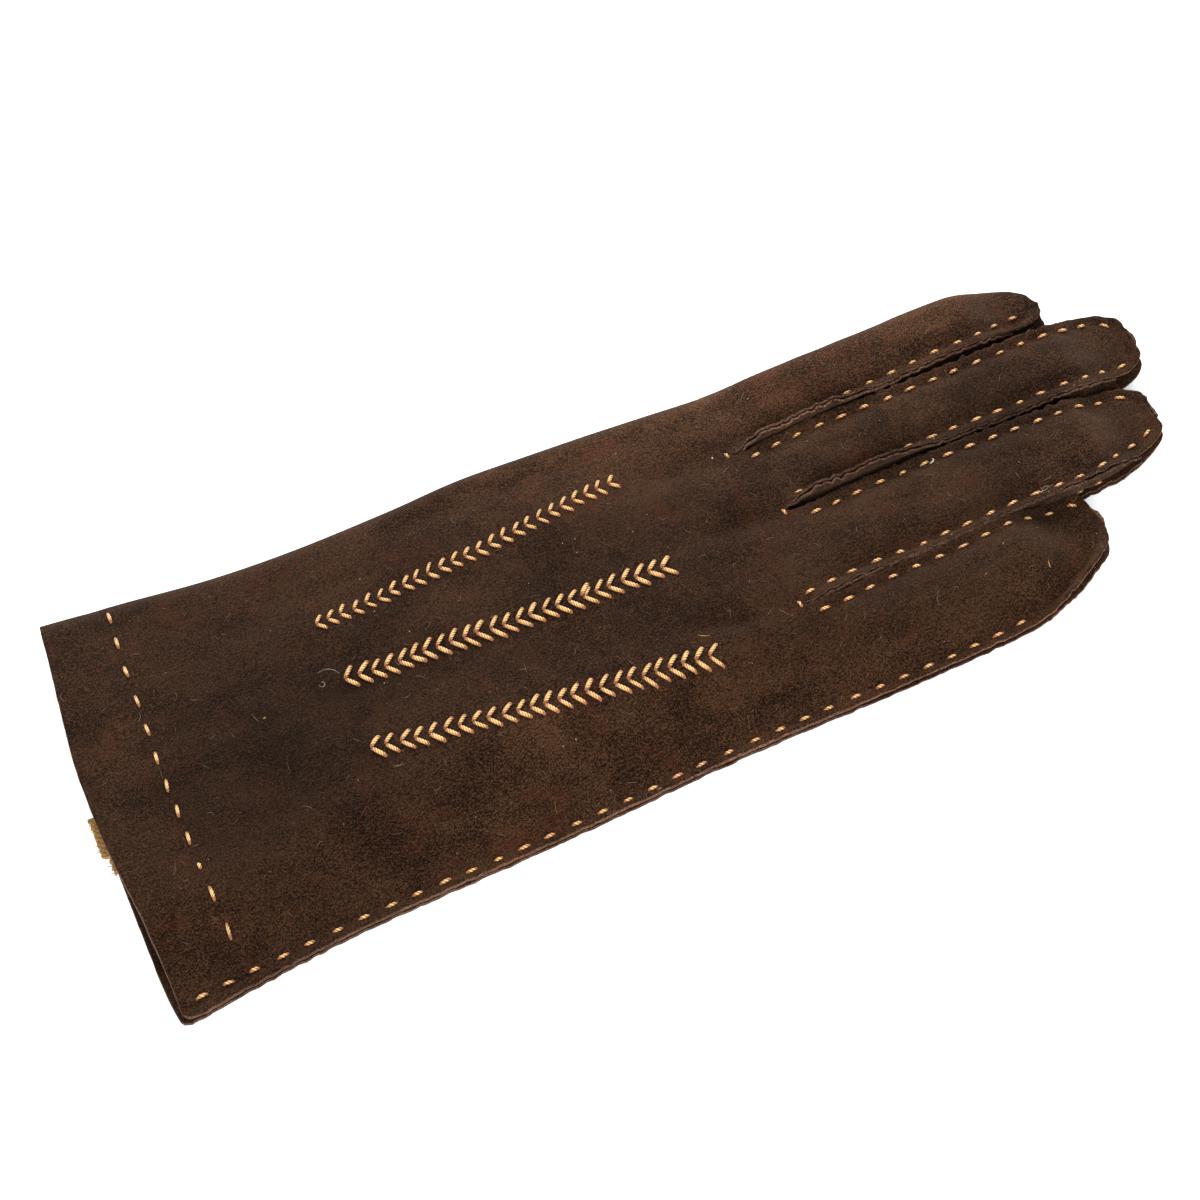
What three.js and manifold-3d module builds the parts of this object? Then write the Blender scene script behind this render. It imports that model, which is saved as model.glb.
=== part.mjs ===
// A right-hand suede dress glove, lying flat and empty on its palm with the back up.
// Sizes are in millimetres. While it is modelled, x runs from the cuff to the fingertips with 0 at the
// middle of the palm, y runs towards the index finger and z is up from the table. The last lines move
// the whole glove so that the middle of its box stands over the origin.
import * as THREE from 'three';
import Module from 'manifold-3d';

const wasm = await Module();
wasm.setup();

// Leather and seams
const LEATHER = 1.0; // suede as cut
const GAP = 0.3; // air left between two layers that are sewn together
const FLANGE = 2.0; // raw edge standing out past the stitches of an outside seam
const LAYERS = 2 * LEATHER + GAP; // height of two layers sewn face to face
const HEM_TURN = 0.9; // second layer where the cuff is turned in
const HEM_LINE = -98.4; // the cuff's row of hem stitches
const HEM_FADE = 3; // the hem's allowance is pared away this near the side seam
const HEM_STEP = 0.6; // length over which the turned-in leather begins

// Outline of the flat glove: the folded index side and the raw edge of the side seam
const OUTLINE = [
  { x: -116, fold: 36.0, seam: -62.0 },
  { x: -94, fold: 34.5, seam: -58.0 },
  { x: -75, fold: 32.8, seam: -55.3 },
  { x: -57, fold: 32.7, seam: -53.8 },
  { x: -38, fold: 33.9, seam: -52.4 },
  { x: -16, fold: 35.9, seam: -50.5 },
  { x: 4, fold: 36.4, seam: -48.5 },
  { x: 24, fold: 36.7, seam: -47.1 },
  { x: 46, fold: 37.2, seam: -46.1 },
  { x: 76, fold: 39.8, seam: -44.0 },
  { x: 108, fold: 42.4, seam: -40.4 },
];

// Edge of the cuff, by the share of its width from the side seam, in the back and the palm
const CUFF = [
  { x: 0, back: -111.3, palm: -111.3 },
  { x: 0.2, back: -113.0, palm: -112.2 },
  { x: 0.4, back: -114.0, palm: -112.6 },
  { x: 0.6, back: -114.2, palm: -113.2 },
  { x: 0.8, back: -112.5, palm: -112.0 },
  { x: 1, back: -110.8, palm: -110.8 },
];

// Height of the back along the glove, and of the side seam above the table
const CROWN = [
  { x: -116, back: 10.0, seam: 0.3 },
  { x: -98, back: 10.2, seam: 0.4 },
  { x: -70, back: 11.2, seam: 0.5 },
  { x: -30, back: 12.3, seam: 0.6 },
  { x: 10, back: 12.5, seam: 0.7 },
  { x: 40, back: 11.3, seam: 0.8 },
  { x: 70, back: 10.6, seam: 0.9 },
  { x: 108, back: 10.2, seam: 1.2 },
];
const SIDE_RISE = 21; // distance over which the back climbs from the side seam
const SIDE_HOLD = 30; // the divisions keep their distance from the side seam over this width
const PALM_DROP = 5; // distance over which the palm comes down from the side seam to the table
const FOLD_REACH = 6; // half-width of the round fold on the index side
const FOLD_SHARE = 0.36; // it is never wider than this share of the index finger
const FOLD_FALL = 1.5; // the back is this much lower where the fold begins
const FOLD_FALL_WIDTH = 26;

// Fingers. `a` is the edge towards the index side, `b` the one towards the little finger, at stations
// along the finger from the crotch line; the tip is rounded over `round_a` and `round_b`.
const FINGERS = {
  index: {
    tip: { x: 120.3, y: 30.4, round_a: 15, round_b: 5, end: 0.34 },
    edges: [
      { x: 38, a: 37.0, b: 18.0 },
      { x: 50, a: 37.5, b: 19.3 },
      { x: 74, a: 39.7, b: 22.4 },
      { x: 97, a: 41.6, b: 25.1 },
      { x: 121, a: 43.2, b: 26.2 },
    ],
  },
  middle: {
    tip: { x: 135.2, y: 14.5, round_a: 11, round_b: 9, end: 0.36 },
    edges: [
      { x: 38, a: 18.0, b: -0.4 },
      { x: 50, a: 18.4, b: 0.9 },
      { x: 74, a: 21.0, b: 3.4 },
      { x: 97, a: 22.7, b: 4.6 },
      { x: 136, a: 26.2, b: 6.0 },
    ],
  },
  ring: {
    tip: { x: 129.4, y: -5.2, round_a: 8, round_b: 14, end: 0.4 },
    edges: [
      { x: 38, a: -0.4, b: -23.4 },
      { x: 50, a: -0.8, b: -21.9 },
      { x: 74, a: 1.8, b: -20.2 },
      { x: 97, a: 2.8, b: -17.8 },
      { x: 130, a: 4.4, b: -13.6 },
    ],
  },
  little: {
    tip: { x: 104.0, y: -24.2, round_a: 6, round_b: 20, end: 0.3 },
    edges: [
      { x: 34, a: -23.4, b: -46.2 },
      { x: 50, a: -23.2, b: -45.4 },
      { x: 74, a: -21.2, b: -43.7 },
      { x: 92, a: -19.4, b: -41.6 },
      { x: 106, a: -16.8, b: -40.2 },
    ],
  },
};
const HAND_FOLD = FINGERS.index.edges[0].a; // the hand's two sides at the crotch line
const HAND_SEAM = FINGERS.little.edges[0].b;
const EDGE_DROP = 1.3; // the back is lower over a fourchette seam than along the finger's middle
const EDGE_DROP_WIDTH = 5;
const TIP_CLOSE = 20; // distance over which back and palm come together at a fingertip
const TIP_LAYERS = 3; // the last of it, where they lie on each other
const TIP_LIFT = 2.9; // the palm's layer stands this high at a fingertip
const TIP_LIFT_LENGTH = 15;
const TIP_BACK_SHARE = 0.4; // the back rises by this share of the palm's lift
const NECK = 14; // distance past the crotch line over which a finger takes its own section

// Crotch line, from the side seam to the index side's fold
const CROTCH_SEAM = 35.6;
const CROTCH_RING_LITTLE = 35.7;
const CROTCH_MIDDLE_RING = 43.1;
const CROTCH_INDEX_MIDDLE = 38.4;
const CROTCH_FOLD = 38.6;

// Dents and folds of the back: centre, length along its own line, width across it, the line's turn
// from the x axis in degrees, and depth (a negative depth is a ridge)
const DENTS = [
  { x: 26, y: 17, length: 26, width: 7, turn: 6, depth: 1.5 }, // valley behind the index crotch
  { x: 30, y: -1, length: 24, width: 7, turn: 0, depth: 1.5 }, // valley behind the middle crotch
  { x: 22, y: -23, length: 26, width: 7, turn: -6, depth: 1.4 }, // valley behind the ring crotch
  { x: 28, y: -12, length: 15, width: 10, turn: 70, depth: 0.9 }, // soft hollow over the ring knuckle
  { x: -6, y: -34, length: 30, width: 10, turn: 14, depth: 0.8 },
  { x: -62, y: 14, length: 36, width: 13, turn: -9, depth: 0.8 },
  { x: -84, y: -34, length: 26, width: 14, turn: 24, depth: 0.7 },
  { x: -20, y: 27, length: 38, width: 6, turn: 4, depth: 0.8 }, // over the edge of the tucked thumb
  { x: 4, y: 12, length: 30, width: 12, turn: -4, depth: -0.7 }, // swell over the tucked thumb
];

// Thumb, tucked flat under the palm: a pouch along an axis, with its mouth in the palm
const THUMB_ROOT = { x: -18, y: 15 };
const THUMB_TIP = { x: 17, y: 10 };
const THUMB_ROOT_RADIUS = 13;
const THUMB_TIP_RADIUS = 9.5;
const THUMB_HOLLOW = 0.6; // what is left open between its two flattened layers
const THUMB_HEIGHT = 2 * LEATHER + THUMB_HOLLOW;
const THUMB_MOUTH = { x: -14, y: 15, reach_x: 14, reach_y: 8 };
const THUMB_RIM = 1.2; // the palm's hole is this much wider than the mouth of the thumb
const PALM_OVER_THUMB = THUMB_HEIGHT + GAP;
const PALM_SLOPE = 8; // distance over which the palm comes down beside the thumb
const THUMB_ROOM = 2.5; // the palm stays up this far past the thumb's outline
const THUMB_STEPS = 36;
const THUMB_ROUND = 0.7; // its outer rim is eased by this height
const THUMB_EASE = 1.2; // and by this width
const THUMB_WALL = 1.5; // leather round its hollow
const THUMB_LIP = 2; // the underside of its top leather is this much short of the rim
const HOLE_DEPTH = 5; // height of the plug that cuts the palm
const HOLE_STEPS = 28;

// Woven tab inside the cuff, lying on the palm's hem and showing at the edge
const TAB = { x: -108.9, y: -18.6, deep: 11, wide: 14.2, thick: 1.0, step_deep: 1.1, step_wide: 3.4 };

// How finely the leather is divided
const BODY_ROWS = 15;
const FINGER_ROWS = [0.035, 0.11, 0.2, 0.3, 0.4, 0.51, 0.62, 0.72, 0.8, 0.865, 0.915, 0.955, 0.985, 1];
const HEM_ROWS = 2;
const HEM_LAST = 0.96; // the last row of the turned-in part, next to the hem stitches
const FOLD_STEPS = 4;
const TURN_STEPS = 6;

// Colours from the photo
const SUEDE = { color: 0x3b2820, roughness: 0.97, metalness: 0 };
const SUEDE_SIDE = { color: 0x33221b, roughness: 0.97, metalness: 0 };
const WOVEN = { color: 0xa8783a, roughness: 0.9, metalness: 0 };

const clamp01 = (t) => Math.min(1, Math.max(0, t));
const smooth = (t) => clamp01(t) ** 2 * (3 - 2 * clamp01(t));
const lerp = (a, b, t) => a + (b - a) * t;

/** A smooth reading of one column of a table whose rows are in order of x. */
function along(rows, column, x) {
  const last = rows.length - 1;
  if (x <= rows[0].x) return rows[0][column];
  if (x >= rows[last].x) return rows[last][column];
  const i = rows.findIndex((row) => row.x > x) - 1;
  const slope = (k) => {
    const before = rows[Math.max(0, k - 1)];
    const after = rows[Math.min(last, k + 1)];
    return (after[column] - before[column]) / (after.x - before.x);
  };
  const step = rows[i + 1].x - rows[i].x;
  const t = (x - rows[i].x) / step;
  const keep = (1 + 2 * t) * (1 - t) ** 2;
  const gain = t * t * (3 - 2 * t);
  return keep * rows[i][column] + gain * rows[i + 1][column]
    + step * (t * (1 - t) ** 2 * slope(i) - t * t * (1 - t) * slope(i + 1));
}

/** Depth of all dents at a point of the back. */
function dentAt(x, y) {
  let depth = 0;
  for (const dent of DENTS) {
    const turn = THREE.MathUtils.degToRad(dent.turn);
    const dx = x - dent.x;
    const dy = y - dent.y;
    const run = (dx * Math.cos(turn) + dy * Math.sin(turn)) / (dent.length / 2);
    const side = (dy * Math.cos(turn) - dx * Math.sin(turn)) / (dent.width / 2);
    depth += dent.depth * Math.exp(-(run * run + side * side));
  }
  return depth;
}

/** How far a point lies outside the thumb's outline, seen from above. */
function outsideThumb(x, y) {
  const ax = THUMB_TIP.x - THUMB_ROOT.x;
  const ay = THUMB_TIP.y - THUMB_ROOT.y;
  const t = clamp01(((x - THUMB_ROOT.x) * ax + (y - THUMB_ROOT.y) * ay) / (ax * ax + ay * ay));
  const radius = lerp(THUMB_ROOT_RADIUS, THUMB_TIP_RADIUS, t);
  return Math.hypot(x - THUMB_ROOT.x - t * ax, y - THUMB_ROOT.y - t * ay) - radius;
}

/** Height of the palm's outside where the thumb is tucked under it. */
const palmOverThumb = (x, y) => PALM_OVER_THUMB * (1 - smooth((outsideThumb(x, y) - THUMB_ROOM) / PALM_SLOPE));

/** Outer heights of back and palm at a point of the hand, before the fold closes them. */
function handHeights(x, y, seamY, foldY) {
  const inward = y - seamY - FLANGE;
  const seam = along(CROWN, 'seam', x);
  const fall = FOLD_FALL * smooth((y - foldY + FOLD_FALL_WIDTH) / FOLD_FALL_WIDTH);
  const crown = along(CROWN, 'back', x) - fall - dentAt(x, y);
  return {
    back: lerp(seam + LAYERS, crown, smooth(inward / SIDE_RISE)),
    palm: Math.max(seam * (1 - smooth(inward / PALM_DROP)), palmOverThumb(x, y)),
  };
}

/** Brings a finger's edge in towards its tip along a quarter of an oval. */
function rounded(edge, tip, x, length) {
  const left = clamp01((tip.x - x) / length);
  return tip.y + (edge - tip.y) * lerp(tip.end, 1, Math.sqrt(1 - (1 - left) ** 2));
}

/** Both edges of a finger at x. */
function fingerEdges(finger, x) {
  return {
    a: rounded(along(finger.edges, 'a', x), finger.tip, x, finger.tip.round_a),
    b: rounded(along(finger.edges, 'b', x), finger.tip, x, finger.tip.round_b),
  };
}

/** Outer heights of back and palm in a finger. `free` says which edges are sewn to a fourchette. */
function fingerHeights(finger, x, y, edges, free) {
  const left = finger.tip.x - x;
  const open = smooth((left - TIP_LAYERS) / (TIP_CLOSE - TIP_LAYERS));
  const lift = TIP_LIFT * (1 - smooth(left / TIP_LIFT_LENGTH));
  const near = Math.min(free.a ? edges.a - y : Infinity, free.b ? y - edges.b : Infinity);
  const drop = near === Infinity ? 0 : EDGE_DROP * (1 - smooth((near - FLANGE) / EDGE_DROP_WIDTH));
  const seamY = free.b ? -Infinity : edges.b;
  const seam = along(CROWN, 'seam', x);
  const rise = seamY === -Infinity ? 1 : smooth((y - seamY - FLANGE) / (SIDE_RISE / 2));
  const crown = along(CROWN, 'back', x) - drop;
  const palm = seamY === -Infinity ? 0 : seam * (1 - smooth((y - seamY - FLANGE) / PALM_DROP));
  const bottom = palm + lift;
  return { back: lerp(bottom + LAYERS, lerp(seam + LAYERS, crown, rise) + TIP_BACK_SHARE * lift, open), palm: bottom };
}

/** Columns across one finger's width on one side of the glove, as distances inward from b or a. */
const COLUMNS = {
  little: [{ b: 0 }, { b: FLANGE }, { b: 5 }, { b: 9 }, { b: 14.5 }, { a: 6 }, { a: FLANGE }, { a: 0 }],
  ring: [{ b: 0 }, { b: FLANGE }, { b: 6 }, { half: 1 }, { a: 6 }, { a: FLANGE }, { a: 0 }],
  middle: [{ b: 0 }, { b: FLANGE }, { b: 6 }, { half: 1 }, { a: 6 }, { a: FLANGE }, { a: 0 }],
  index: [{ b: 0 }, { b: FLANGE }, { b: 5 }, { b: 9 }],
};
const NARROWEST = 0.46; // a column never passes this share of a finger's width

/** y of a column at a place where the finger's edges are known. */
function columnY(column, edges) {
  const width = edges.a - edges.b;
  if (column.half) return lerp(edges.b, edges.a, 0.5);
  const share = (distance) => Math.min(distance, NARROWEST * width * (distance / (distance + 1)));
  return 'b' in column ? edges.b + share(column.b) : edges.a - share(column.a);
}

/** The index finger's columns stop where its fold begins, which takes an angle of its own. */
function foldColumns() {
  const steps = [];
  for (let i = 0; i <= FOLD_STEPS; i += 1) steps.push({ fold: (Math.PI / 2) * (1 - i / FOLD_STEPS) });
  return steps;
}

const STRIPS = ['little', 'ring', 'middle', 'index'];
const FREE = {
  little: { a: true, b: false },
  ring: { a: true, b: true },
  middle: { a: true, b: true },
  index: { a: false, b: true },
};

/** Point of the outer face: `side` is 1 on the back and -1 on the palm. */
function outerPoint(x, y, heights, column, side) {
  if (!('fold' in column)) return new THREE.Vector3(x, y, side > 0 ? heights.back : heights.palm);
  const middle = (heights.back + heights.palm) / 2;
  const half = (heights.back - heights.palm) / 2;
  return new THREE.Vector3(x, y, middle + side * half * Math.sin(column.fold));
}

/** y of a fold column: `reach` is the fold's half-width there. */
const foldColumnY = (column, foldY, reach) => foldY - reach * (1 - Math.cos(column.fold));

/** x of the crotch line at a share of the hand's width from the side seam. */
function crotchLine(share) {
  const at = (y) => (y - HAND_SEAM) / (HAND_FOLD - HAND_SEAM);
  const line = [
    { x: 0, line: CROTCH_SEAM },
    { x: at(FINGERS.ring.edges[0].b), line: CROTCH_RING_LITTLE },
    { x: at(FINGERS.middle.edges[0].b), line: CROTCH_MIDDLE_RING },
    { x: at(FINGERS.index.edges[0].b), line: CROTCH_INDEX_MIDDLE },
    { x: 1, line: CROTCH_FOLD },
  ];
  return along(line, 'line', share);
}

/** x of the cuff's edge at a share of the hand's width from the side seam. */
const cuffLine = (share, side) => along(CUFF, side > 0 ? 'back' : 'palm', share);

/** How much thicker the leather is where the cuff is turned in. */
function hemAt(x, y, seamY) {
  return HEM_TURN * clamp01((HEM_LINE + HEM_STEP - x) / HEM_STEP) * smooth((y - seamY - FLANGE) / HEM_FADE);
}

/** Closes a sheet from its two faces: quads of point numbers, facing out on the outer face. */
function closedSheet(outer, inner, quads) {
  const corners = [];
  const count = outer.length;
  const edges = new Map();
  const key = (p, q) => p * count + q;
  for (const quad of quads) {
    for (let i = 0; i < 4; i += 1) edges.set(key(quad[i], quad[(i + 1) % 4]), true);
    const [p, q, r, s] = quad;
    const short = outer[p].distanceToSquared(outer[r]) <= outer[q].distanceToSquared(outer[s]);
    const faces = short ? [[p, q, r], [p, r, s]] : [[q, r, s], [q, s, p]];
    for (const [i, j, k] of faces) {
      corners.push(i, j, k);
      corners.push(k + count, j + count, i + count);
    }
  }
  for (const quad of quads) {
    for (let i = 0; i < 4; i += 1) {
      const p = quad[i];
      const q = quad[(i + 1) % 4];
      if (!edges.has(key(q, p))) corners.push(q, p, p + count, q, p + count, q + count);
    }
  }
  const geometry = new THREE.BufferGeometry();
  const places = [...outer, ...inner].flatMap((point) => [point.x, point.y, point.z]);
  geometry.setAttribute('position', new THREE.Float32BufferAttribute(places, 3));
  geometry.setIndex(corners);
  return geometry;
}

/** Normals of the outer face at every point, weighted by area. */
function faceNormals(outer, quads) {
  const normals = outer.map(() => new THREE.Vector3());
  const first = new THREE.Vector3();
  const second = new THREE.Vector3();
  for (const [p, q, r, s] of quads) {
    first.subVectors(outer[r], outer[p]);
    second.subVectors(outer[s], outer[q]);
    const normal = first.clone().cross(second);
    for (const i of [p, q, r, s]) normals[i].add(normal);
  }
  return normals.map((normal) => normal.normalize());
}

/** The trank: palm and back in one piece of leather, folded at the index side. */
function makeTrank() {
  const outer = [];
  const thickness = [];
  const quads = [];
  const add = (point, extra) => {
    outer.push(point);
    thickness.push(LEATHER + extra);
    return outer.length - 1;
  };

  // Columns in order from the back's side seam over the fold to the palm's side seam
  const across = [];
  for (const side of [1, -1]) {
    const half = [];
    STRIPS.forEach((name, i) => {
      const list = name === 'index' ? [...COLUMNS.index, ...foldColumns()] : COLUMNS[name];
      list.forEach((column, j) => {
        if (i > 0 && j === 0) half[half.length - 1].next = { name, column, side };
        else half.push({ name, column, side });
      });
    });
    if (side > 0) across.push(...half);
    else across.push(...half.reverse().slice(1));
  }

  // The hand, from the cuff to the crotch line
  const seamAt = (x) => along(OUTLINE, 'seam', x);
  const foldAt = (x) => along(OUTLINE, 'fold', x);
  const crotchEdges = (name) => {
    const row = FINGERS[name].edges[0];
    return { a: row.a, b: row.b };
  };
  const shareOf = (place) => {
    const y = 'fold' in place.column
      ? foldColumnY(place.column, HAND_FOLD, FOLD_REACH)
      : columnY(place.column, crotchEdges(place.name));
    return (y - HAND_SEAM) / (HAND_FOLD - HAND_SEAM);
  };
  const rows = [];
  const bodyRow = (t, hem) => across.map((place) => {
    const share = shareOf(place);
    const cuff = cuffLine(share, place.side);
    const x = hem === null ? lerp(HEM_LINE, crotchLine(share), t) : lerp(cuff, HEM_LINE, hem);
    const seamY = seamAt(x);
    const foldY = foldAt(x);
    let y = lerp(seamY, foldY, share);
    if ('fold' in place.column) y = foldColumnY(place.column, foldY, FOLD_REACH);
    if (place.name === 'little' && 'b' in place.column) {
      y = lerp(seamY + place.column.b, y, smooth(place.column.b / SIDE_HOLD));
    }
    const heights = handHeights(x, y, seamY, foldY);
    return add(outerPoint(x, y, heights, place.column, place.side), hemAt(x, y, seamY));
  });
  for (let i = 0; i < HEM_ROWS; i += 1) rows.push(bodyRow(0, i / HEM_ROWS));
  rows.push(bodyRow(0, HEM_LAST));
  for (let i = 0; i <= BODY_ROWS; i += 1) rows.push(bodyRow(i / BODY_ROWS, null));
  const join = (near, far) => {
    for (let j = 0; j + 1 < near.length; j += 1) quads.push([near[j], far[j], far[j + 1], near[j + 1]]);
  };
  for (let i = 0; i + 1 < rows.length; i += 1) join(rows[i], rows[i + 1]);

  // The fingers, each a strip of the same columns from the crotch line to its tip
  const crotchRow = rows[rows.length - 1];
  const strips = {};
  for (const name of STRIPS) {
    const finger = FINGERS[name];
    for (const side of [1, -1]) {
      const places = [];
      across.forEach((place, j) => {
        if (place.side === side && place.name === name) places.push({ ...place, j });
        if (place.side === side && place.next && place.next.name === name) {
          places.push({ name, column: place.next.column, side, j });
        }
      });
      if (name === 'index' && side < 0) {
        const shared = across.findIndex((place) => place.side > 0 && place.column.fold === 0);
        places.unshift({ ...across[shared], side: 1, j: shared });
      }
      const list = [places.map((place) => place.j).map((j) => crotchRow[j])];
      strips[`${name}${side}`] = { places, list };
    }
    const grow = (side) => {
      const strip = strips[`${name}${side}`];
      for (const t of FINGER_ROWS) {
        strip.list.push(strip.places.map((place, k) => {
          if (name === 'index' && side < 0 && k === 0) return -1;
          const start = outer[crotchRow[place.j]].x;
          const x = lerp(start, finger.tip.x, t);
          const edges = fingerEdges(finger, x);
          const reach = Math.min(FOLD_REACH, FOLD_SHARE * (edges.a - edges.b));
          const y = 'fold' in place.column
            ? foldColumnY(place.column, edges.a, reach)
            : columnY(place.column, edges);
          const own = fingerHeights(finger, x, y, edges, FREE[name]);
          const hand = handHeights(x, y, along(OUTLINE, 'seam', x), along(OUTLINE, 'fold', x));
          const neck = smooth((x - start) / NECK);
          const heights = { back: lerp(hand.back, own.back, neck), palm: lerp(hand.palm, own.palm, neck) };
          return add(outerPoint(x, y, heights, place.column, side), 0);
        }));
      }
    };
    grow(1);
    grow(-1);
    if (name === 'index') {
      // Both halves of the index finger share the line of the fold
      const back = strips.index1.list;
      strips['index-1'].list.forEach((row, i) => {
        if (i > 0) row[0] = back[i][back[i].length - 1];
      });
    }
    for (const side of [1, -1]) {
      const { list } = strips[`${name}${side}`];
      for (let i = 0; i + 1 < list.length; i += 1) join(list[i], list[i + 1]);
    }
  }

  const normals = faceNormals(outer, quads);
  const inner = outer.map((point, i) => point.clone().addScaledVector(normals[i], -thickness[i]));
  return { outer, inner, quads, strips };
}

/** Offsets a section's centre line to both faces with mitred corners. */
function faces(line, half) {
  const turn = (p, q) => new THREE.Vector2(-(q.y - p.y), q.x - p.x).normalize();
  return [1, -1].map((side) => line.map((point, i) => {
    const before = turn(line[Math.max(0, i - 1)], line[Math.max(1, i)]);
    const after = turn(line[Math.min(line.length - 2, i)], line[Math.min(line.length - 1, i + 1)]);
    const mitre = before.clone().add(after);
    return point.clone().addScaledVector(mitre, (side * half) / (1 + before.dot(after)));
  }));
}

const FOURCHETTE_BULGE = 0.7; // the side wall stands out this much at half height
const FOURCHETTE_END = 8; // rows of a finger that its fourchette runs along
const EDGE_SHY = 0.15; // its raw edge stops this share short of the trank's edge
const EDGE_LEAST = 0.4; // least distance of its raw edge from the middle of the crotch
const WALL_WAIST = -0.1; // the wall draws in by this beside its bulge
const TURN_SHY = 0.12; // its turn round the crotch is this much lower, clear of the dented leather

/** A fourchette: the folded side wall between two fingers, with its raw edges turned out. */
function makeFourchette(trank, upperName, lowerName) {
  const stations = [];
  const under = (name, side, i, end) => {
    // The trank's edge and flange points in row i, on the face towards the fourchette
    const row = trank.strips[`${name}${side}`].list[i];
    const first = trank.strips[`${name}${side}`].places[0];
    const edgeFirst = ('b' in first.column && first.column.b === 0) === (end === 'b');
    const pick = edgeFirst ? [row[0], row[1]] : [row[row.length - 1], row[row.length - 2]];
    return pick.map((id) => trank.inner[id]);
  };
  const station = (name, end, i) => {
    const [topEdge, topFlange] = under(name, 1, i, end);
    const [lowEdge, lowFlange] = under(name, -1, i, end);
    stations.push({
      edge: new THREE.Vector2(topFlange.x, topFlange.y).lerp(new THREE.Vector2(topEdge.x, topEdge.y), 1 - EDGE_SHY),
      fold: new THREE.Vector2(topFlange.x, topFlange.y),
      topEdge: topEdge.z - GAP,
      topFold: topFlange.z - GAP,
      lowEdge: lowEdge.z + GAP,
      lowFold: lowFlange.z + GAP,
    });
  };
  for (let i = FOURCHETTE_END; i >= 1; i -= 1) station(upperName, 'b', i);
  const upper = stations[stations.length - 1];
  const mark = stations.length;
  for (let i = 1; i <= FOURCHETTE_END; i += 1) station(lowerName, 'a', i);
  const lower = stations[mark];

  // The turn round the crotch, half an oval from one finger to the other
  const centre = upper.fold.clone().add(lower.fold).multiplyScalar(0.5);
  const radius = upper.fold.distanceTo(lower.fold) / 2;
  const inner = radius - (1 - EDGE_SHY) * FLANGE;
  const tops = under(upperName, 1, 0, 'b').concat(under(lowerName, 1, 0, 'a')).map((point) => point.z - GAP);
  const lows = under(upperName, -1, 0, 'b').concat(under(lowerName, -1, 0, 'a')).map((point) => point.z + GAP);
  const top = Math.min(upper.topFold, lower.topFold, upper.topEdge, lower.topEdge, ...tops) - TURN_SHY;
  const low = Math.max(upper.lowFold, lower.lowFold, upper.lowEdge, lower.lowEdge, ...lows) + TURN_SHY;
  const turns = [];
  for (let i = 1; i < TURN_STEPS; i += 1) {
    const angle = Math.PI * (i / TURN_STEPS) + Math.PI / 2;
    const spoke = new THREE.Vector2(Math.cos(angle), Math.sin(angle));
    turns.push({
      edge: centre.clone().addScaledVector(spoke, Math.max(inner, EDGE_LEAST)),
      fold: centre.clone().addScaledVector(spoke, radius),
      topEdge: top, topFold: top, lowEdge: low, lowFold: low,
    });
  }
  stations.splice(mark, 0, ...turns);

  const outer = [];
  const innerFace = [];
  for (const place of stations) {
    const out = place.edge.clone().sub(place.fold);
    const reach = out.length();
    out.normalize();
    const half = LEATHER / 2;
    const high = place.topFold - half;
    const deep = place.lowFold + half;
    const line = [
      new THREE.Vector2(reach, place.topEdge - half),
      new THREE.Vector2(0, high),
      new THREE.Vector2(WALL_WAIST, lerp(high, deep, 0.25)),
      new THREE.Vector2(FOURCHETTE_BULGE, lerp(high, deep, 0.5)),
      new THREE.Vector2(WALL_WAIST, lerp(high, deep, 0.75)),
      new THREE.Vector2(0, deep),
      new THREE.Vector2(reach, place.lowEdge + half),
    ];
    const [one, two] = faces(line, half);
    const lift = (point) => new THREE.Vector3(place.fold.x + out.x * point.x, place.fold.y + out.y * point.x, point.y);
    one.forEach((point) => outer.push(lift(point)));
    two.forEach((point) => innerFace.push(lift(point)));
  }
  const width = outer.length / stations.length;
  const quads = [];
  for (let i = 0; i + 1 < stations.length; i += 1) {
    for (let j = 0; j + 1 < width; j += 1) {
      const p = i * width + j;
      quads.push([p, p + width, p + width + 1, p + 1]);
    }
  }
  return closedSheet(outer, innerFace, quads);
}

/** Outline of the thumb from above, at an angle round its middle. */
function thumbOutline(angle, inset) {
  const middle = { x: (THUMB_ROOT.x + THUMB_TIP.x) / 2, y: (THUMB_ROOT.y + THUMB_TIP.y) / 2 };
  let near = 0;
  let far = 2 * (THUMB_TIP.x - THUMB_ROOT.x);
  for (let i = 0; i < 30; i += 1) {
    const reach = (near + far) / 2;
    const outside = outsideThumb(middle.x + reach * Math.cos(angle), middle.y + reach * Math.sin(angle));
    if (outside < -inset) near = reach;
    else far = reach;
  }
  return new THREE.Vector2(middle.x + near * Math.cos(angle), middle.y + near * Math.sin(angle));
}

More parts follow.
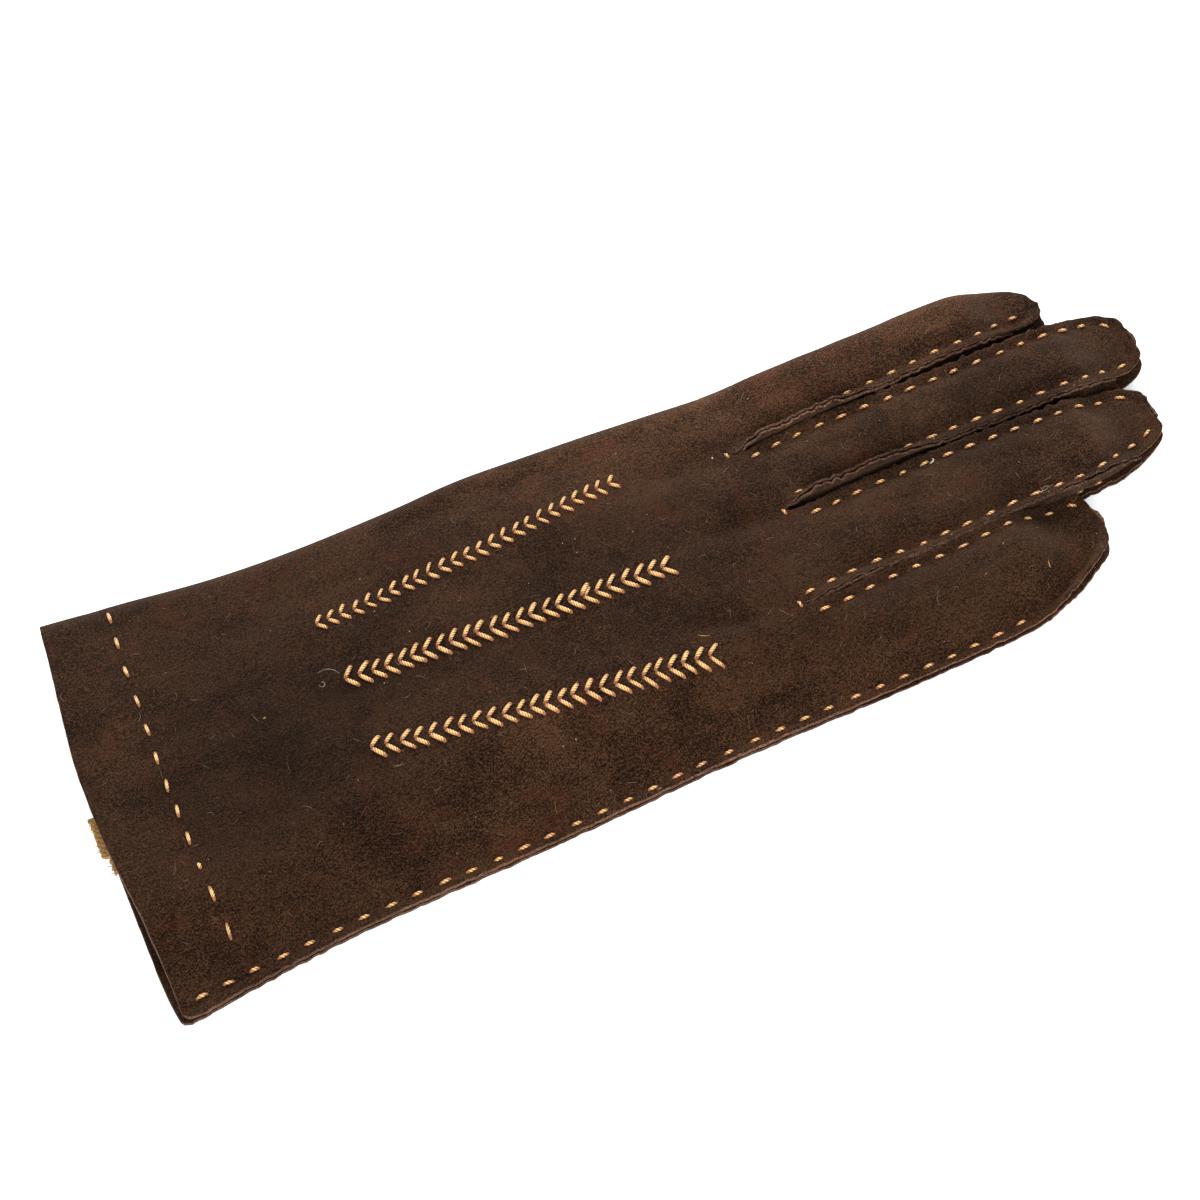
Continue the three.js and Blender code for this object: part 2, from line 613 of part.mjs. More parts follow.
/** The thumb: a flattened pouch whose mouth opens upwards into the palm. */
function makeThumb() {
  const mouth = (angle) => new THREE.Vector2(
    THUMB_MOUTH.x + THUMB_MOUTH.reach_x * Math.cos(angle),
    THUMB_MOUTH.y + THUMB_MOUTH.reach_y * Math.sin(angle),
  );
  const top = THUMB_HEIGHT;
  // Each ring: share of the way from the mouth (or the middle of the floor) to the rim, inset, height
  const rings = [
    { floor: true, share: 0.35, inset: 0, z: 0 },
    { floor: true, share: 0.75, inset: 0, z: 0 },
    { floor: true, share: 1, inset: THUMB_EASE, z: 0 },
    { floor: true, share: 1, inset: 0, z: THUMB_ROUND },
    { floor: true, share: 1, inset: 0, z: top - THUMB_ROUND },
    { floor: true, share: 1, inset: THUMB_EASE, z: top },
    { floor: false, share: 0.5, inset: THUMB_EASE, z: top },
    { floor: false, share: 0, inset: 0, z: top },
    { floor: false, share: 0, inset: 0, z: top - LEATHER },
    { floor: false, share: 0.5, inset: THUMB_LIP, z: top - LEATHER },
    { floor: true, share: 1, inset: THUMB_WALL, z: top - LEATHER },
    { floor: true, share: 1, inset: THUMB_WALL, z: LEATHER },
    { floor: true, share: 0.75, inset: THUMB_WALL, z: LEATHER },
    { floor: true, share: 0.35, inset: THUMB_WALL, z: LEATHER },
  ];
  const middle = new THREE.Vector2((THUMB_ROOT.x + THUMB_TIP.x) / 2, (THUMB_ROOT.y + THUMB_TIP.y) / 2);
  const places = [middle.x, middle.y, 0];
  for (const ring of rings) {
    for (let i = 0; i < THUMB_STEPS; i += 1) {
      const angle = (2 * Math.PI * i) / THUMB_STEPS;
      const start = ring.floor ? middle : mouth(angle);
      const point = start.clone().lerp(thumbOutline(angle, ring.inset), ring.share);
      places.push(point.x, point.y, ring.z);
    }
  }
  places.push(middle.x, middle.y, LEATHER);
  const corners = [];
  const at = (ring, i) => 1 + ring * THUMB_STEPS + (i % THUMB_STEPS);
  const end = 1 + rings.length * THUMB_STEPS;
  for (let i = 0; i < THUMB_STEPS; i += 1) {
    corners.push(0, at(0, i + 1), at(0, i));
    for (let k = 0; k + 1 < rings.length; k += 1) {
      corners.push(at(k, i), at(k, i + 1), at(k + 1, i + 1), at(k, i), at(k + 1, i + 1), at(k + 1, i));
    }
    corners.push(end, at(rings.length - 1, i), at(rings.length - 1, i + 1));
  }
  const geometry = new THREE.BufferGeometry();
  geometry.setAttribute('position', new THREE.Float32BufferAttribute(places, 3));
  geometry.setIndex(corners);
  return geometry;
}

/** Cuts the thumb's hole in the palm. */
function cutThumbHole(geometry) {
  const shape = new THREE.Shape();
  shape.absellipse(
    THUMB_MOUTH.x, THUMB_MOUTH.y,
    THUMB_MOUTH.reach_x + THUMB_RIM, THUMB_MOUTH.reach_y + THUMB_RIM, 0, 2 * Math.PI, false, 0,
  );
  const plug = new THREE.ExtrudeGeometry(shape, { depth: HOLE_DEPTH, bevelEnabled: false, curveSegments: HOLE_STEPS });
  const cut = wasm.Manifold.difference(solidOf(geometry), solidOf(plug));
  return geometryOf(cut);
}

/** A closed mesh as a solid for cutting. */
function solidOf(geometry) {
  const source = geometry.getAttribute('position');
  const numbers = new Map();
  const places = [];
  const numberOf = (i) => {
    const point = [source.getX(i), source.getY(i), source.getZ(i)];
    const name = point.map((value) => value.toFixed(5)).join(' ');
    if (!numbers.has(name)) {
      numbers.set(name, places.length / 3);
      places.push(...point);
    }
    return numbers.get(name);
  };
  const index = geometry.getIndex();
  const total = index ? index.count : source.count;
  const corners = [];
  for (let i = 0; i < total; i += 3) {
    const face = [0, 1, 2].map((k) => numberOf(index ? index.getX(i + k) : i + k));
    if (new Set(face).size === 3) corners.push(...face);
  }
  return new wasm.Manifold(new wasm.Mesh({
    numProp: 3,
    vertProperties: new Float32Array(places),
    triVerts: new Uint32Array(corners),
  }));
}

/** A cut solid as a mesh again. */
function geometryOf(solid) {
  const mesh = solid.getMesh();
  const geometry = new THREE.BufferGeometry();
  geometry.setAttribute('position', new THREE.BufferAttribute(mesh.vertProperties.slice(), mesh.numProp));
  geometry.setIndex(new THREE.BufferAttribute(mesh.triVerts.slice(), 1));
  return geometry;
}

/** The woven tab: a flat strip with a narrower step at its lower end. */
function makeTab() {
  const front = TAB.x - TAB.deep / 2;
  const back = TAB.x + TAB.deep / 2;
  const low = TAB.y - TAB.wide / 2;
  const high = TAB.y + TAB.wide / 2;
  const shape = new THREE.Shape();
  shape.moveTo(back, low);
  shape.lineTo(back, high);
  shape.lineTo(front, high);
  shape.lineTo(front, low + TAB.step_wide);
  shape.lineTo(front + TAB.step_deep, low + TAB.step_wide);
  shape.lineTo(front + TAB.step_deep, low);
  shape.closePath();
  return new THREE.ExtrudeGeometry(shape, { depth: TAB.thick, bevelEnabled: false });
}

const glove = new THREE.Group();

/** Puts a piece into the glove as a named mesh with its own material. */
function place(name, geometry, finish) {
  geometry.computeVertexNormals();
  const mesh = new THREE.Mesh(geometry, new THREE.MeshStandardMaterial(finish));
  mesh.name = name;
  glove.add(mesh);
  return mesh;
}

const trank = makeTrank();
place('glove_body', cutThumbHole(closedSheet(trank.outer, trank.inner, trank.quads)), SUEDE);
place('fourchette_index_middle', makeFourchette(trank, 'index', 'middle'), SUEDE_SIDE);
place('fourchette_middle_ring', makeFourchette(trank, 'middle', 'ring'), SUEDE_SIDE);
place('fourchette_ring_little', makeFourchette(trank, 'ring', 'little'), SUEDE_SIDE);
place('thumb', makeThumb(), SUEDE);
const tab = place('woven_tab', makeTab(), WOVEN);
tab.position.z = LEATHER + HEM_TURN + GAP;

// The middle of the glove's box stands over the origin, with the table at z = 0
const box = new THREE.Box3().setFromObject(glove);
const middle = box.getCenter(new THREE.Vector3());
glove.position.set(-middle.x, -middle.y, -box.min.z);
glove.updateMatrixWorld(true);

export default glove;
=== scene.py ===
"""A suede dress glove lying on its palm: its leather, threads and tape, with floor, lights and camera.

Sizes are millimetres in the pattern's own axes: x runs from the cuff to the fingertips, y towards the index
finger and z up from the table. to_frame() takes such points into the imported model's frame, in metres.
"""
import logging
import math
from dataclasses import dataclass, field
from enum import Enum
from typing import NamedTuple, Sequence

import bpy
import numpy as np
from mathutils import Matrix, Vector
from mathutils.bvhtree import BVHTree


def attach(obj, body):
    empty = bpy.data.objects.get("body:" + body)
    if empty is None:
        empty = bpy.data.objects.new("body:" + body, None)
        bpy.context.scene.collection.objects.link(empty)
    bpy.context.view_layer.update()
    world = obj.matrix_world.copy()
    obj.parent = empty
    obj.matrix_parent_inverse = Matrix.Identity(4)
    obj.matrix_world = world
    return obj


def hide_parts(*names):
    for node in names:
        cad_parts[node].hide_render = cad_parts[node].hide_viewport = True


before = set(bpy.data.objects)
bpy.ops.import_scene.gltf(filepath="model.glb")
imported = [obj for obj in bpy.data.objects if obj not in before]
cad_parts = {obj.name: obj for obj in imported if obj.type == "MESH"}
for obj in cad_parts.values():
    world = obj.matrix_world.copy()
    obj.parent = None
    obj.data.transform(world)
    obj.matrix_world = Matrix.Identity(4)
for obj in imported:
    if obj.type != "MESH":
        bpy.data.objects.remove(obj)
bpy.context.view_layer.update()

LOG = logging.getLogger("glove")
PATTERN_SHIFT = np.array([-10.426, 9.487, 0.0])
MM = 0.001


def to_frame(points: np.ndarray) -> np.ndarray:
    """Takes pattern points into the frame.

    Args:
        points: Points in millimetres, last axis x, y, z.

    Returns:
        The same points in metres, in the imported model's frame.
    """
    return (np.asarray(points, float) + PATTERN_SHIFT) * MM


def clamp01(value: np.ndarray) -> np.ndarray:
    """Limits values to the range from 0 to 1."""
    return np.clip(value, 0.0, 1.0)


def smooth(value: np.ndarray) -> np.ndarray:
    """Eases values from 0 to 1 without a corner at either end."""
    t = clamp01(value)
    return t * t * (3.0 - 2.0 * t)


def lerp(low: np.ndarray, high: np.ndarray, share: np.ndarray) -> np.ndarray:
    """Mixes two values by a share."""
    return low + (high - low) * share


def bell(distance: np.ndarray, width: float) -> np.ndarray:
    """A soft hump that is 1 at distance 0 and fades over the width."""
    return np.exp(-np.square(np.asarray(distance, float) / width))


def ease(xs: Sequence[float], values: Sequence[float], x: np.ndarray) -> np.ndarray:
    """Draws a smooth curve through values.

    Args:
        xs: Where the values stand, in order.
        values: The values.
        x: Where to read the curve.

    Returns:
        The curve at each x, held constant past its ends.
    """
    xs, values = np.array(xs, float), np.array(values, float)
    before = np.maximum(np.arange(len(xs)) - 1, 0)
    after = np.minimum(np.arange(len(xs)) + 1, len(xs) - 1)
    slope = (values[after] - values[before]) / (xs[after] - xs[before])
    x = np.clip(np.asarray(x, float), xs[0], xs[-1])
    i = np.clip(np.searchsorted(xs, x, side="right") - 1, 0, len(xs) - 2)
    step = xs[i + 1] - xs[i]
    t = (x - xs[i]) / step
    keep = (1 + 2 * t) * (1 - t) ** 2
    gain = t * t * (3 - 2 * t)
    return (keep * values[i] + gain * values[i + 1]
            + step * (t * (1 - t) ** 2 * slope[i] - t * t * (1 - t) * slope[i + 1]))


def along(rows: Sequence[NamedTuple], column: str, x: np.ndarray) -> np.ndarray:
    """Reads one column of a table, whose rows are in order of their x, as a smooth curve."""
    return ease([row.x for row in rows], [getattr(row, column) for row in rows], x)


def grid_quads(ids: np.ndarray) -> np.ndarray:
    """Quads between the rows and columns of a grid of point numbers."""
    return np.stack([ids[:-1, :-1], ids[1:, :-1], ids[1:, 1:], ids[:-1, 1:]], axis=-1).reshape(-1, 4)


def both_faces(quads: np.ndarray, count: int) -> list[tuple[int, ...]]:
    """Faces of a sheet, and the same ones turned round for its other side, whose points follow its own."""
    return [tuple(q) for q in quads.tolist()] + [tuple(p + count for p in q[::-1]) for q in quads.tolist()]


@dataclass(frozen=True)
class Ripple:
    """A smooth irregular wave, the same in every run, made of a few sines."""

    seed: int
    longest: float
    shortest: float
    waves: int = 8

    def _parts(self) -> tuple[np.ndarray, np.ndarray, np.ndarray, np.ndarray]:
        """Wave numbers, directions, phases and weights of the sines."""
        rng = np.random.default_rng(self.seed)
        length = np.exp(rng.uniform(math.log(self.shortest), math.log(self.longest), self.waves))
        weight = np.sqrt(length / length.max())
        turn, phase = rng.uniform(0, 2 * np.pi, self.waves), rng.uniform(0, 2 * np.pi, self.waves)
        return 2 * np.pi / length, turn, phase, weight / np.sqrt(0.5 * np.sum(weight ** 2)) / 1.6

    def line(self, s: np.ndarray) -> np.ndarray:
        """The wave along a line, between about -1 and 1."""
        number, _, phase, weight = self._parts()
        s = np.asarray(s, float)
        return sum(w * np.sin(k * s + p) for k, p, w in zip(number, phase, weight))

    def field(self, x: np.ndarray, y: np.ndarray) -> np.ndarray:
        """The wave over a surface, between about -1 and 1."""
        number, turn, phase, weight = self._parts()
        return sum(w * np.sin(k * (x * np.cos(a) + y * np.sin(a)) + p)
                   for k, a, p, w in zip(number, turn, phase, weight))


class Side(Enum):
    """The two faces of the flat glove."""

    BACK = 1
    PALM = -1


class Outline(NamedTuple):
    """Folded index side and raw edge of the side seam."""

    x: float
    fold: float
    seam: float


class Cuff(NamedTuple):
    """Edge of the cuff in back and palm, by the share x of the width from the side seam."""

    x: float
    back: float
    palm: float


class Crown(NamedTuple):
    """Height of the back, and of the side seam above the table."""

    x: float
    back: float
    seam: float


class Edge(NamedTuple):
    """Edges of a finger: a towards the index side, b towards the little finger."""

    x: float
    a: float
    b: float


class Tip(NamedTuple):
    """Fingertip: its place, the lengths over which both edges round in, and the share left at its end."""

    x: float
    y: float
    round_a: float
    round_b: float
    end: float


class Dent(NamedTuple):
    """A soft dent of the back: centre, length along its line, width, turn in degrees and depth."""

    x: float
    y: float
    length: float
    width: float
    turn: float
    depth: float


class Shade(NamedTuple):
    """A patch of painted light, or of painted shade where the amount is below 0: centre, length, width, turn
    in degrees and amount.
    """

    x: float
    y: float
    length: float
    width: float
    turn: float
    amount: float


class Draw(NamedTuple):
    """How far the back's edges a and b move in y from the palm's."""

    x: float
    a: float
    b: float


class Lift(NamedTuple):
    """How high a raw edge stands up: from the crotch as far as x, and beyond it."""

    high: float
    until: float
    low: float

    def at(self, x: np.ndarray) -> np.ndarray:
        """The lift at x."""
        return lerp(self.high, self.low, smooth((x - self.until + 9) / 18))


class Spot(NamedTuple):
    """A place seen from above."""

    x: float
    y: float


@dataclass(frozen=True)
class Finger:
    """One finger of the pattern."""

    name: str
    tip: Tip
    edges: tuple[Edge, ...]
    sewn_a: bool = True
    sewn_b: bool = True
    lift_a: Lift = Lift(0.7, 60, 0.35)
    lift_b: Lift = Lift(0.7, 60, 0.35)
    draws: tuple[Draw, ...] = (Draw(0, 0, 0), Draw(1, 0, 0))

    def _edge(self, key: str, length: float, x: np.ndarray, side: Side) -> np.ndarray:
        """y of one edge, drawn in or out on the back."""
        left = clamp01((self.tip.x - x) / length)
        straight = along(self.edges, key, x) - self.tip.y
        edge = self.tip.y + straight * lerp(self.tip.end, 1.0, np.sqrt(1 - (1 - left) ** 2))
        return edge + (along(self.draws, key, x) if side is Side.BACK else 0.0)

    def edge_a(self, x: np.ndarray, side: Side = Side.PALM) -> np.ndarray:
        """y of the edge towards the index side, rounded in at the tip along a quarter of an oval."""
        return self._edge("a", self.tip.round_a, x, side)

    def edge_b(self, x: np.ndarray, side: Side = Side.PALM) -> np.ndarray:
        """y of the edge towards the little finger, rounded in at the tip."""
        return self._edge("b", self.tip.round_b, x, side)

    def rim(self, inset: float, start_a: float, start_b: float, side: Side = Side.BACK) -> np.ndarray:
        """The finger's outline, moved in, from the crotch on side a round the tip to side b.

        Args:
            inset: Distance from the raw edge.
            start_a: x where the line starts on side a.
            start_b: x where it ends on side b.
            side: Back or palm.

        Returns:
            Points x, y in order.
        """
        turn = 1 - (1 - np.linspace(0, 1, 90)) ** 2
        xa = start_a + (self.tip.x - start_a) * turn
        xb = start_b + (self.tip.x - start_b) * turn
        ends = np.array([[self.tip.x, float(edge(self.tip.x, side))] for edge in (self.edge_a, self.edge_b)])
        cap = ends[0] + (ends[1] - ends[0]) * np.linspace(0, 1, 12)[1:-1, None]
        line = np.vstack([np.c_[xa, self.edge_a(xa, side)], cap, np.c_[xb, self.edge_b(xb, side)][::-1]])
        line = resample(line, 0.5)
        for _ in range(10):
            line[1:-1] = 0.25 * line[:-2] + 0.5 * line[1:-1] + 0.25 * line[2:]
        along_line = np.gradient(line, axis=0)
        along_line /= np.linalg.norm(along_line, axis=1)[:, None]
        return line + inset * np.c_[along_line[:, 1], -along_line[:, 0]]


def resample(line: np.ndarray, pitch: float) -> np.ndarray:
    """Divides a line evenly.

    Args:
        line: Points in order.
        pitch: Distance wanted between points.

    Returns:
        Points at even distances along the line.
    """
    run = np.r_[0, np.cumsum(np.linalg.norm(np.diff(line, axis=0), axis=1))]
    count = max(2, int(round(run[-1] / pitch)) + 1)
    place = np.linspace(0, run[-1], count)
    return np.stack([np.interp(place, run, line[:, k]) for k in range(line.shape[1])], axis=1)


@dataclass(frozen=True)
class GloveForm:
    """Outline and heights of the flat, empty glove, the same as the solids have."""

    leather: float = 1.0
    gap: float = 0.3
    flange: float = 2.0
    hem_turn: float = 0.9
    hem_line: float = -98.4
    hem_fade: float = 3.0
    corner_back: float = 3.0
    corner_palm: float = 1.8
    side_rise: float = 21.0
    side_hold: float = 30.0
    palm_drop: float = 5.0
    fold_reach: float = 6.0
    fold_share: float = 0.36
    fold_fall: float = 1.5
    fold_fall_width: float = 26.0
    edge_drop: float = 1.3
    edge_drop_width: float = 5.0
    tip_close: float = 20.0
    tip_layers: float = 3.0
    tip_lift: float = 2.9
    tip_lift_length: float = 15.0
    tip_back_share: float = 0.4
    neck: float = 14.0
    thumb_root: Spot = Spot(-18, 15)
    thumb_tip: Spot = Spot(17, 10)
    thumb_radii: tuple[float, float] = (13.0, 9.5)
    thumb_height: float = 2.6
    thumb_mouth: Spot = Spot(-14, 15)
    mouth_reach: tuple[float, float] = (14.0, 8.0)
    hole_rim: float = 1.2
    palm_slope: float = 8.0
    thumb_room: float = 2.5
    outline: tuple[Outline, ...] = (
        Outline(-116, 36.0, -62.0), Outline(-94, 34.5, -58.0), Outline(-75, 32.8, -55.3),
        Outline(-57, 32.7, -53.8), Outline(-38, 33.9, -52.4), Outline(-16, 35.9, -50.5),
        Outline(4, 36.4, -48.5), Outline(24, 36.7, -47.1), Outline(46, 37.2, -46.1),
        Outline(76, 39.8, -44.0), Outline(108, 42.4, -40.4))
    cuff: tuple[Cuff, ...] = (
        Cuff(0, -111.3, -111.9), Cuff(0.1, -111.4, -112.8), Cuff(0.2, -112.1, -113.0),
        Cuff(0.4, -114.0, -113.2), Cuff(0.6, -114.2, -113.2), Cuff(0.8, -112.5, -112.0),
        Cuff(1, -110.8, -110.8))
    crown: tuple[Crown, ...] = (
        Crown(-116, 10.0, 0.3), Crown(-98, 10.2, 0.4), Crown(-70, 11.2, 0.5), Crown(-30, 12.3, 0.6),
        Crown(10, 12.5, 0.7), Crown(40, 11.3, 0.8), Crown(70, 10.6, 0.9), Crown(108, 10.2, 1.2))
    index: Finger = Finger("index", Tip(120.3, 30.4, 15, 5, 0.34), (
        Edge(38, 37.0, 18.0), Edge(50, 37.5, 19.3), Edge(74, 39.7, 22.4), Edge(97, 41.6, 25.1),
        Edge(121, 43.2, 26.2)), sewn_a=False, lift_b=Lift(1.98, 70, 0.6),
        draws=(Draw(44, 0, -0.5), Draw(56, 0, 0), Draw(76, 0, 0), Draw(90, 0, 0.3), Draw(102, 0, 0.4),
               Draw(109, 0, 1.9), Draw(115, 0, 2.6)))
    middle: Finger = Finger("middle", Tip(135.2, 14.5, 11, 9, 0.36), (
        Edge(38, 18.0, -0.4), Edge(50, 18.4, 0.9), Edge(74, 21.0, 3.4), Edge(97, 22.7, 4.6),
        Edge(136, 26.2, 6.0)), lift_a=Lift(0.45, 66, 0.25), lift_b=Lift(1.98, 76, 0.5),
        draws=(Draw(38, -1.4, 0), Draw(42, -1.1, 0), Draw(48, 0.25, 0), Draw(56, 0.75, 0), Draw(66, 0.4, 0),
               Draw(76, 0, 0), Draw(100, 0, 0.1), Draw(108, -0.15, 0.5), Draw(118, -0.4, 0.6),
               Draw(125, 0.5, 2.0), Draw(131, 0.9, 1.6)))
    ring: Finger = Finger("ring", Tip(129.4, -5.2, 8, 14, 0.4), (
        Edge(38, -0.4, -23.4), Edge(50, -0.8, -21.9), Edge(74, 1.8, -20.2), Edge(97, 2.8, -17.8),
        Edge(130, 4.4, -13.6)), lift_a=Lift(0.35, 60, 0.25), lift_b=Lift(0.75, 74, 0.5),
        draws=(Draw(38, -0.8, -0.6), Draw(48, -0.4, 0.1), Draw(55, 0.5, 0), Draw(64, 0.4, -0.4),
               Draw(71, 0, -0.1), Draw(92, 0.1, -0.2), Draw(104, 0, -1.3), Draw(110, -0.1, -1.2),
               Draw(117, 0.5, 0.5), Draw(123, 1.1, 0.9)))
    little: Finger = Finger("little", Tip(104.0, -24.2, 6, 20, 0.3), (
        Edge(34, -23.4, -46.65), Edge(50, -23.2, -45.75), Edge(74, -21.2, -43.9), Edge(92, -19.4, -41.6),
        Edge(106, -16.8, -40.2)), sewn_b=False, lift_a=Lift(0.45, 70, 0.35),
        draws=(Draw(38, -1.3, 0), Draw(44, -0.7, 0), Draw(50, 0.3, 0), Draw(60, 0.7, 0), Draw(68, 0.5, 0),
               Draw(80, 1.0, 0), Draw(88, 1.3, 0.5), Draw(95, 1.4, 1.15), Draw(101, 1.4, 1.0)))
    crotches: tuple[float, ...] = (35.6, 35.0, 42.2, 37.6, 38.6)
    dents: tuple[Dent, ...] = (
        Dent(26, 17, 26, 7, 6, 1.5), Dent(30, -1, 24, 7, 0, 1.5), Dent(22, -23, 26, 7, -6, 1.4),
        Dent(28, -12, 15, 10, 70, 0.9), Dent(-6, -34, 30, 10, 14, 0.8), Dent(-62, 14, 36, 13, -9, 0.8),
        Dent(-84, -34, 26, 14, 24, 0.7), Dent(-20, 27, 38, 6, 4, 0.8), Dent(4, 12, 30, 12, -4, -0.7))
    # Painted light and shade: soft patches that lighten the back's colour where more light falls, most on the
    # folded index side and the slopes by the side seam, and darken it where less falls.
    shades: tuple[Shade, ...] = (
        Shade(66, 38, 150, 26, 4, 1.25), Shade(58, 20, 60, 14, 4, 0.3), Shade(-30, -42, 170, 22, 3, 0.36),
        Shade(30, -47, 120, 12, 3, 0.5), Shade(-75, 5, 60, 70, 0, -0.15), Shade(-84, -28, 54, 46, 0, -0.34),
        Shade(-50, -8, 44, 16, -4, -0.35), Shade(92, 3, 40, 12, 5, -0.4), Shade(88, -14, 26, 10, 5, -0.25),
        Shade(-28, -30, 32, 12, 0, 0.38), Shade(8, -30, 28, 10, 0, 0.22), Shade(14, -20, 20, 10, 0, -0.25),
        Shade(50, -29, 46, 12, 0, -0.25), Shade(12, 8, 44, 18, 0, -0.15), Shade(113, 4, 24, 66, 0, 0.3),
        Shade(92, -35, 32, 16, 0, 0.42), Shade(-106, -2, 12, 110, 2, 0.22), Shade(101, -11, 22, 14, 0, 0.3))

    @property
    def layers(self) -> float:
        """Height of two leathers sewn face to face."""
        return 2 * self.leather + self.gap

    @property
    def fingers(self) -> tuple[Finger, ...]:
        """The fingers from the side seam to the fold."""
        return (self.little, self.ring, self.middle, self.index)

    @property
    def hand_sides(self) -> tuple[float, float]:
        """The hand's two sides at the crotch line."""
        return self.little.edges[0].b, self.index.edges[0].a

    def seam_y(self, x: np.ndarray) -> np.ndarray:
        """Raw edge of the side seam."""
        return along(self.outline, "seam", x)

    def fold_y(self, x: np.ndarray) -> np.ndarray:
        """Folded index side."""
        return along(self.outline, "fold", x)

    def crotch_x(self, share: np.ndarray) -> np.ndarray:
        """x of the crotch line at a share of the hand's width from the side seam."""
        low, high = self.hand_sides
        at = [(y - low) / (high - low) for y in (
            low, self.ring.edges[0].b, self.middle.edges[0].b, self.index.edges[0].b, high)]
        return ease(at, self.crotches, share)

    def cuff_x(self, share: np.ndarray, side: Side) -> np.ndarray:
        """x of the cuff's edge at a share of the hand's width from the side seam."""
        return along(self.cuff, "back" if side is Side.BACK else "palm", share)

    @staticmethod
    def _patch(spot: Dent | Shade, x: np.ndarray, y: np.ndarray) -> np.ndarray:
        """How much of a soft oval patch lies at points of the back, from 0 to 1."""
        turn = math.radians(spot.turn)
        run = ((x - spot.x) * math.cos(turn) + (y - spot.y) * math.sin(turn)) / (spot.length / 2)
        across = ((y - spot.y) * math.cos(turn) - (x - spot.x) * math.sin(turn)) / (spot.width / 2)
        return np.exp(-(run * run + across * across))

    def dent(self, x: np.ndarray, y: np.ndarray) -> np.ndarray:
        """Depth of all dents at points of the back."""
        return sum(dent.depth * self._patch(dent, x, y) for dent in self.dents)

    def painted_light_and_shade(self, points: np.ndarray) -> np.ndarray:
        """The painted light and shade at points of the back, a factor of about 1 on the suede's colour."""
        x, y = points[:, 0], points[:, 1]
        light = 1.0 + sum(shade.amount * self._patch(shade, x, y) for shade in self.shades)
        return np.where(points[:, 2] > 2.0, light, 1.0)

    def outside_thumb(self, x: np.ndarray, y: np.ndarray) -> np.ndarray:
        """How far points lie outside the tucked thumb's outline."""
        ax, ay = self.thumb_tip.x - self.thumb_root.x, self.thumb_tip.y - self.thumb_root.y
        t = clamp01(((x - self.thumb_root.x) * ax + (y - self.thumb_root.y) * ay) / (ax * ax + ay * ay))
        radius = lerp(self.thumb_radii[0], self.thumb_radii[1], t)
        return np.hypot(x - self.thumb_root.x - t * ax, y - self.thumb_root.y - t * ay) - radius

    def palm_over_thumb(self, x: np.ndarray, y: np.ndarray) -> np.ndarray:
        """Height of the palm's outside where the thumb is tucked under it."""
        top = self.thumb_height + self.gap
        return top * (1 - smooth((self.outside_thumb(x, y) - self.thumb_room) / self.palm_slope))

    def hem_extra(self, x: np.ndarray, y: np.ndarray) -> np.ndarray:
        """How much thicker the leather is where the cuff is turned in."""
        near = smooth((y - self.seam_y(x) - self.flange) / self.hem_fade)
        return self.hem_turn * clamp01((self.hem_line + 0.6 - x) / 0.6) * near

    def hand_heights(self, x: np.ndarray, y: np.ndarray) -> tuple[np.ndarray, np.ndarray]:
        """Outer heights of back and palm over the hand."""
        inward = y - self.seam_y(x) - self.flange
        seam = along(self.crown, "seam", x)
        fall = self.fold_fall * smooth((y - self.fold_y(x) + self.fold_fall_width) / self.fold_fall_width)
        crown = along(self.crown, "back", x) - fall - self.dent(x, y)
        back = lerp(seam + self.layers, crown, smooth(inward / self.side_rise))
        palm = np.maximum(seam * (1 - smooth(inward / self.palm_drop)), self.palm_over_thumb(x, y))
        return back, palm

    def finger_heights(self, finger: Finger, x: np.ndarray, y: np.ndarray) -> tuple[np.ndarray, np.ndarray]:
        """Outer heights of back and palm over a finger past its neck."""
        left = finger.tip.x - x
        open_share = smooth((left - self.tip_layers) / (self.tip_close - self.tip_layers))
        lift = self.tip_lift * (1 - smooth(left / self.tip_lift_length))
        near = np.full(np.broadcast(x, y).shape, np.inf)
        if finger.sewn_a:
            near = np.minimum(near, finger.edge_a(x) - y)
        if finger.sewn_b:
            near = np.minimum(near, y - finger.edge_b(x))
        drop = self.edge_drop * (1 - smooth((near - self.flange) / self.edge_drop_width))
        seam = along(self.crown, "seam", x)
        crown = along(self.crown, "back", x) - drop
        if finger.sewn_b:
            rise, palm = np.ones_like(crown), np.zeros_like(crown)
        else:
            inward = y - finger.edge_b(x) - self.flange
            rise = smooth(inward / (self.side_rise / 2))
            palm = seam * (1 - smooth(inward / self.palm_drop))
        bottom = palm + lift
        full = lerp(seam + self.layers, crown, rise) + self.tip_back_share * lift
        return lerp(bottom + self.layers, full, open_share), bottom


class Leather(NamedTuple):
    """A sheet of leather before it gets its thickness."""

    outer: np.ndarray
    quads: np.ndarray
    thickness: np.ndarray


def point_normals(points: np.ndarray, quads: np.ndarray) -> np.ndarray:
    """Normals at the points of a sheet, weighted by area."""
    cross = np.cross(points[quads[:, 2]] - points[quads[:, 0]], points[quads[:, 3]] - points[quads[:, 1]])
    normals = np.zeros_like(points)
    for k in range(4):
        np.add.at(normals, quads[:, k], cross)
    return normals / np.maximum(np.linalg.norm(normals, axis=1), 1e-12)[:, None]


class CutEdge(NamedTuple):
    """Shape of a cut edge of leather: shares of the thickness and how far each stands out."""

    shares: tuple[float, ...] = (0.16, 0.5, 0.84)
    swell: tuple[float, ...] = (0.07, 0.1, 0.07)


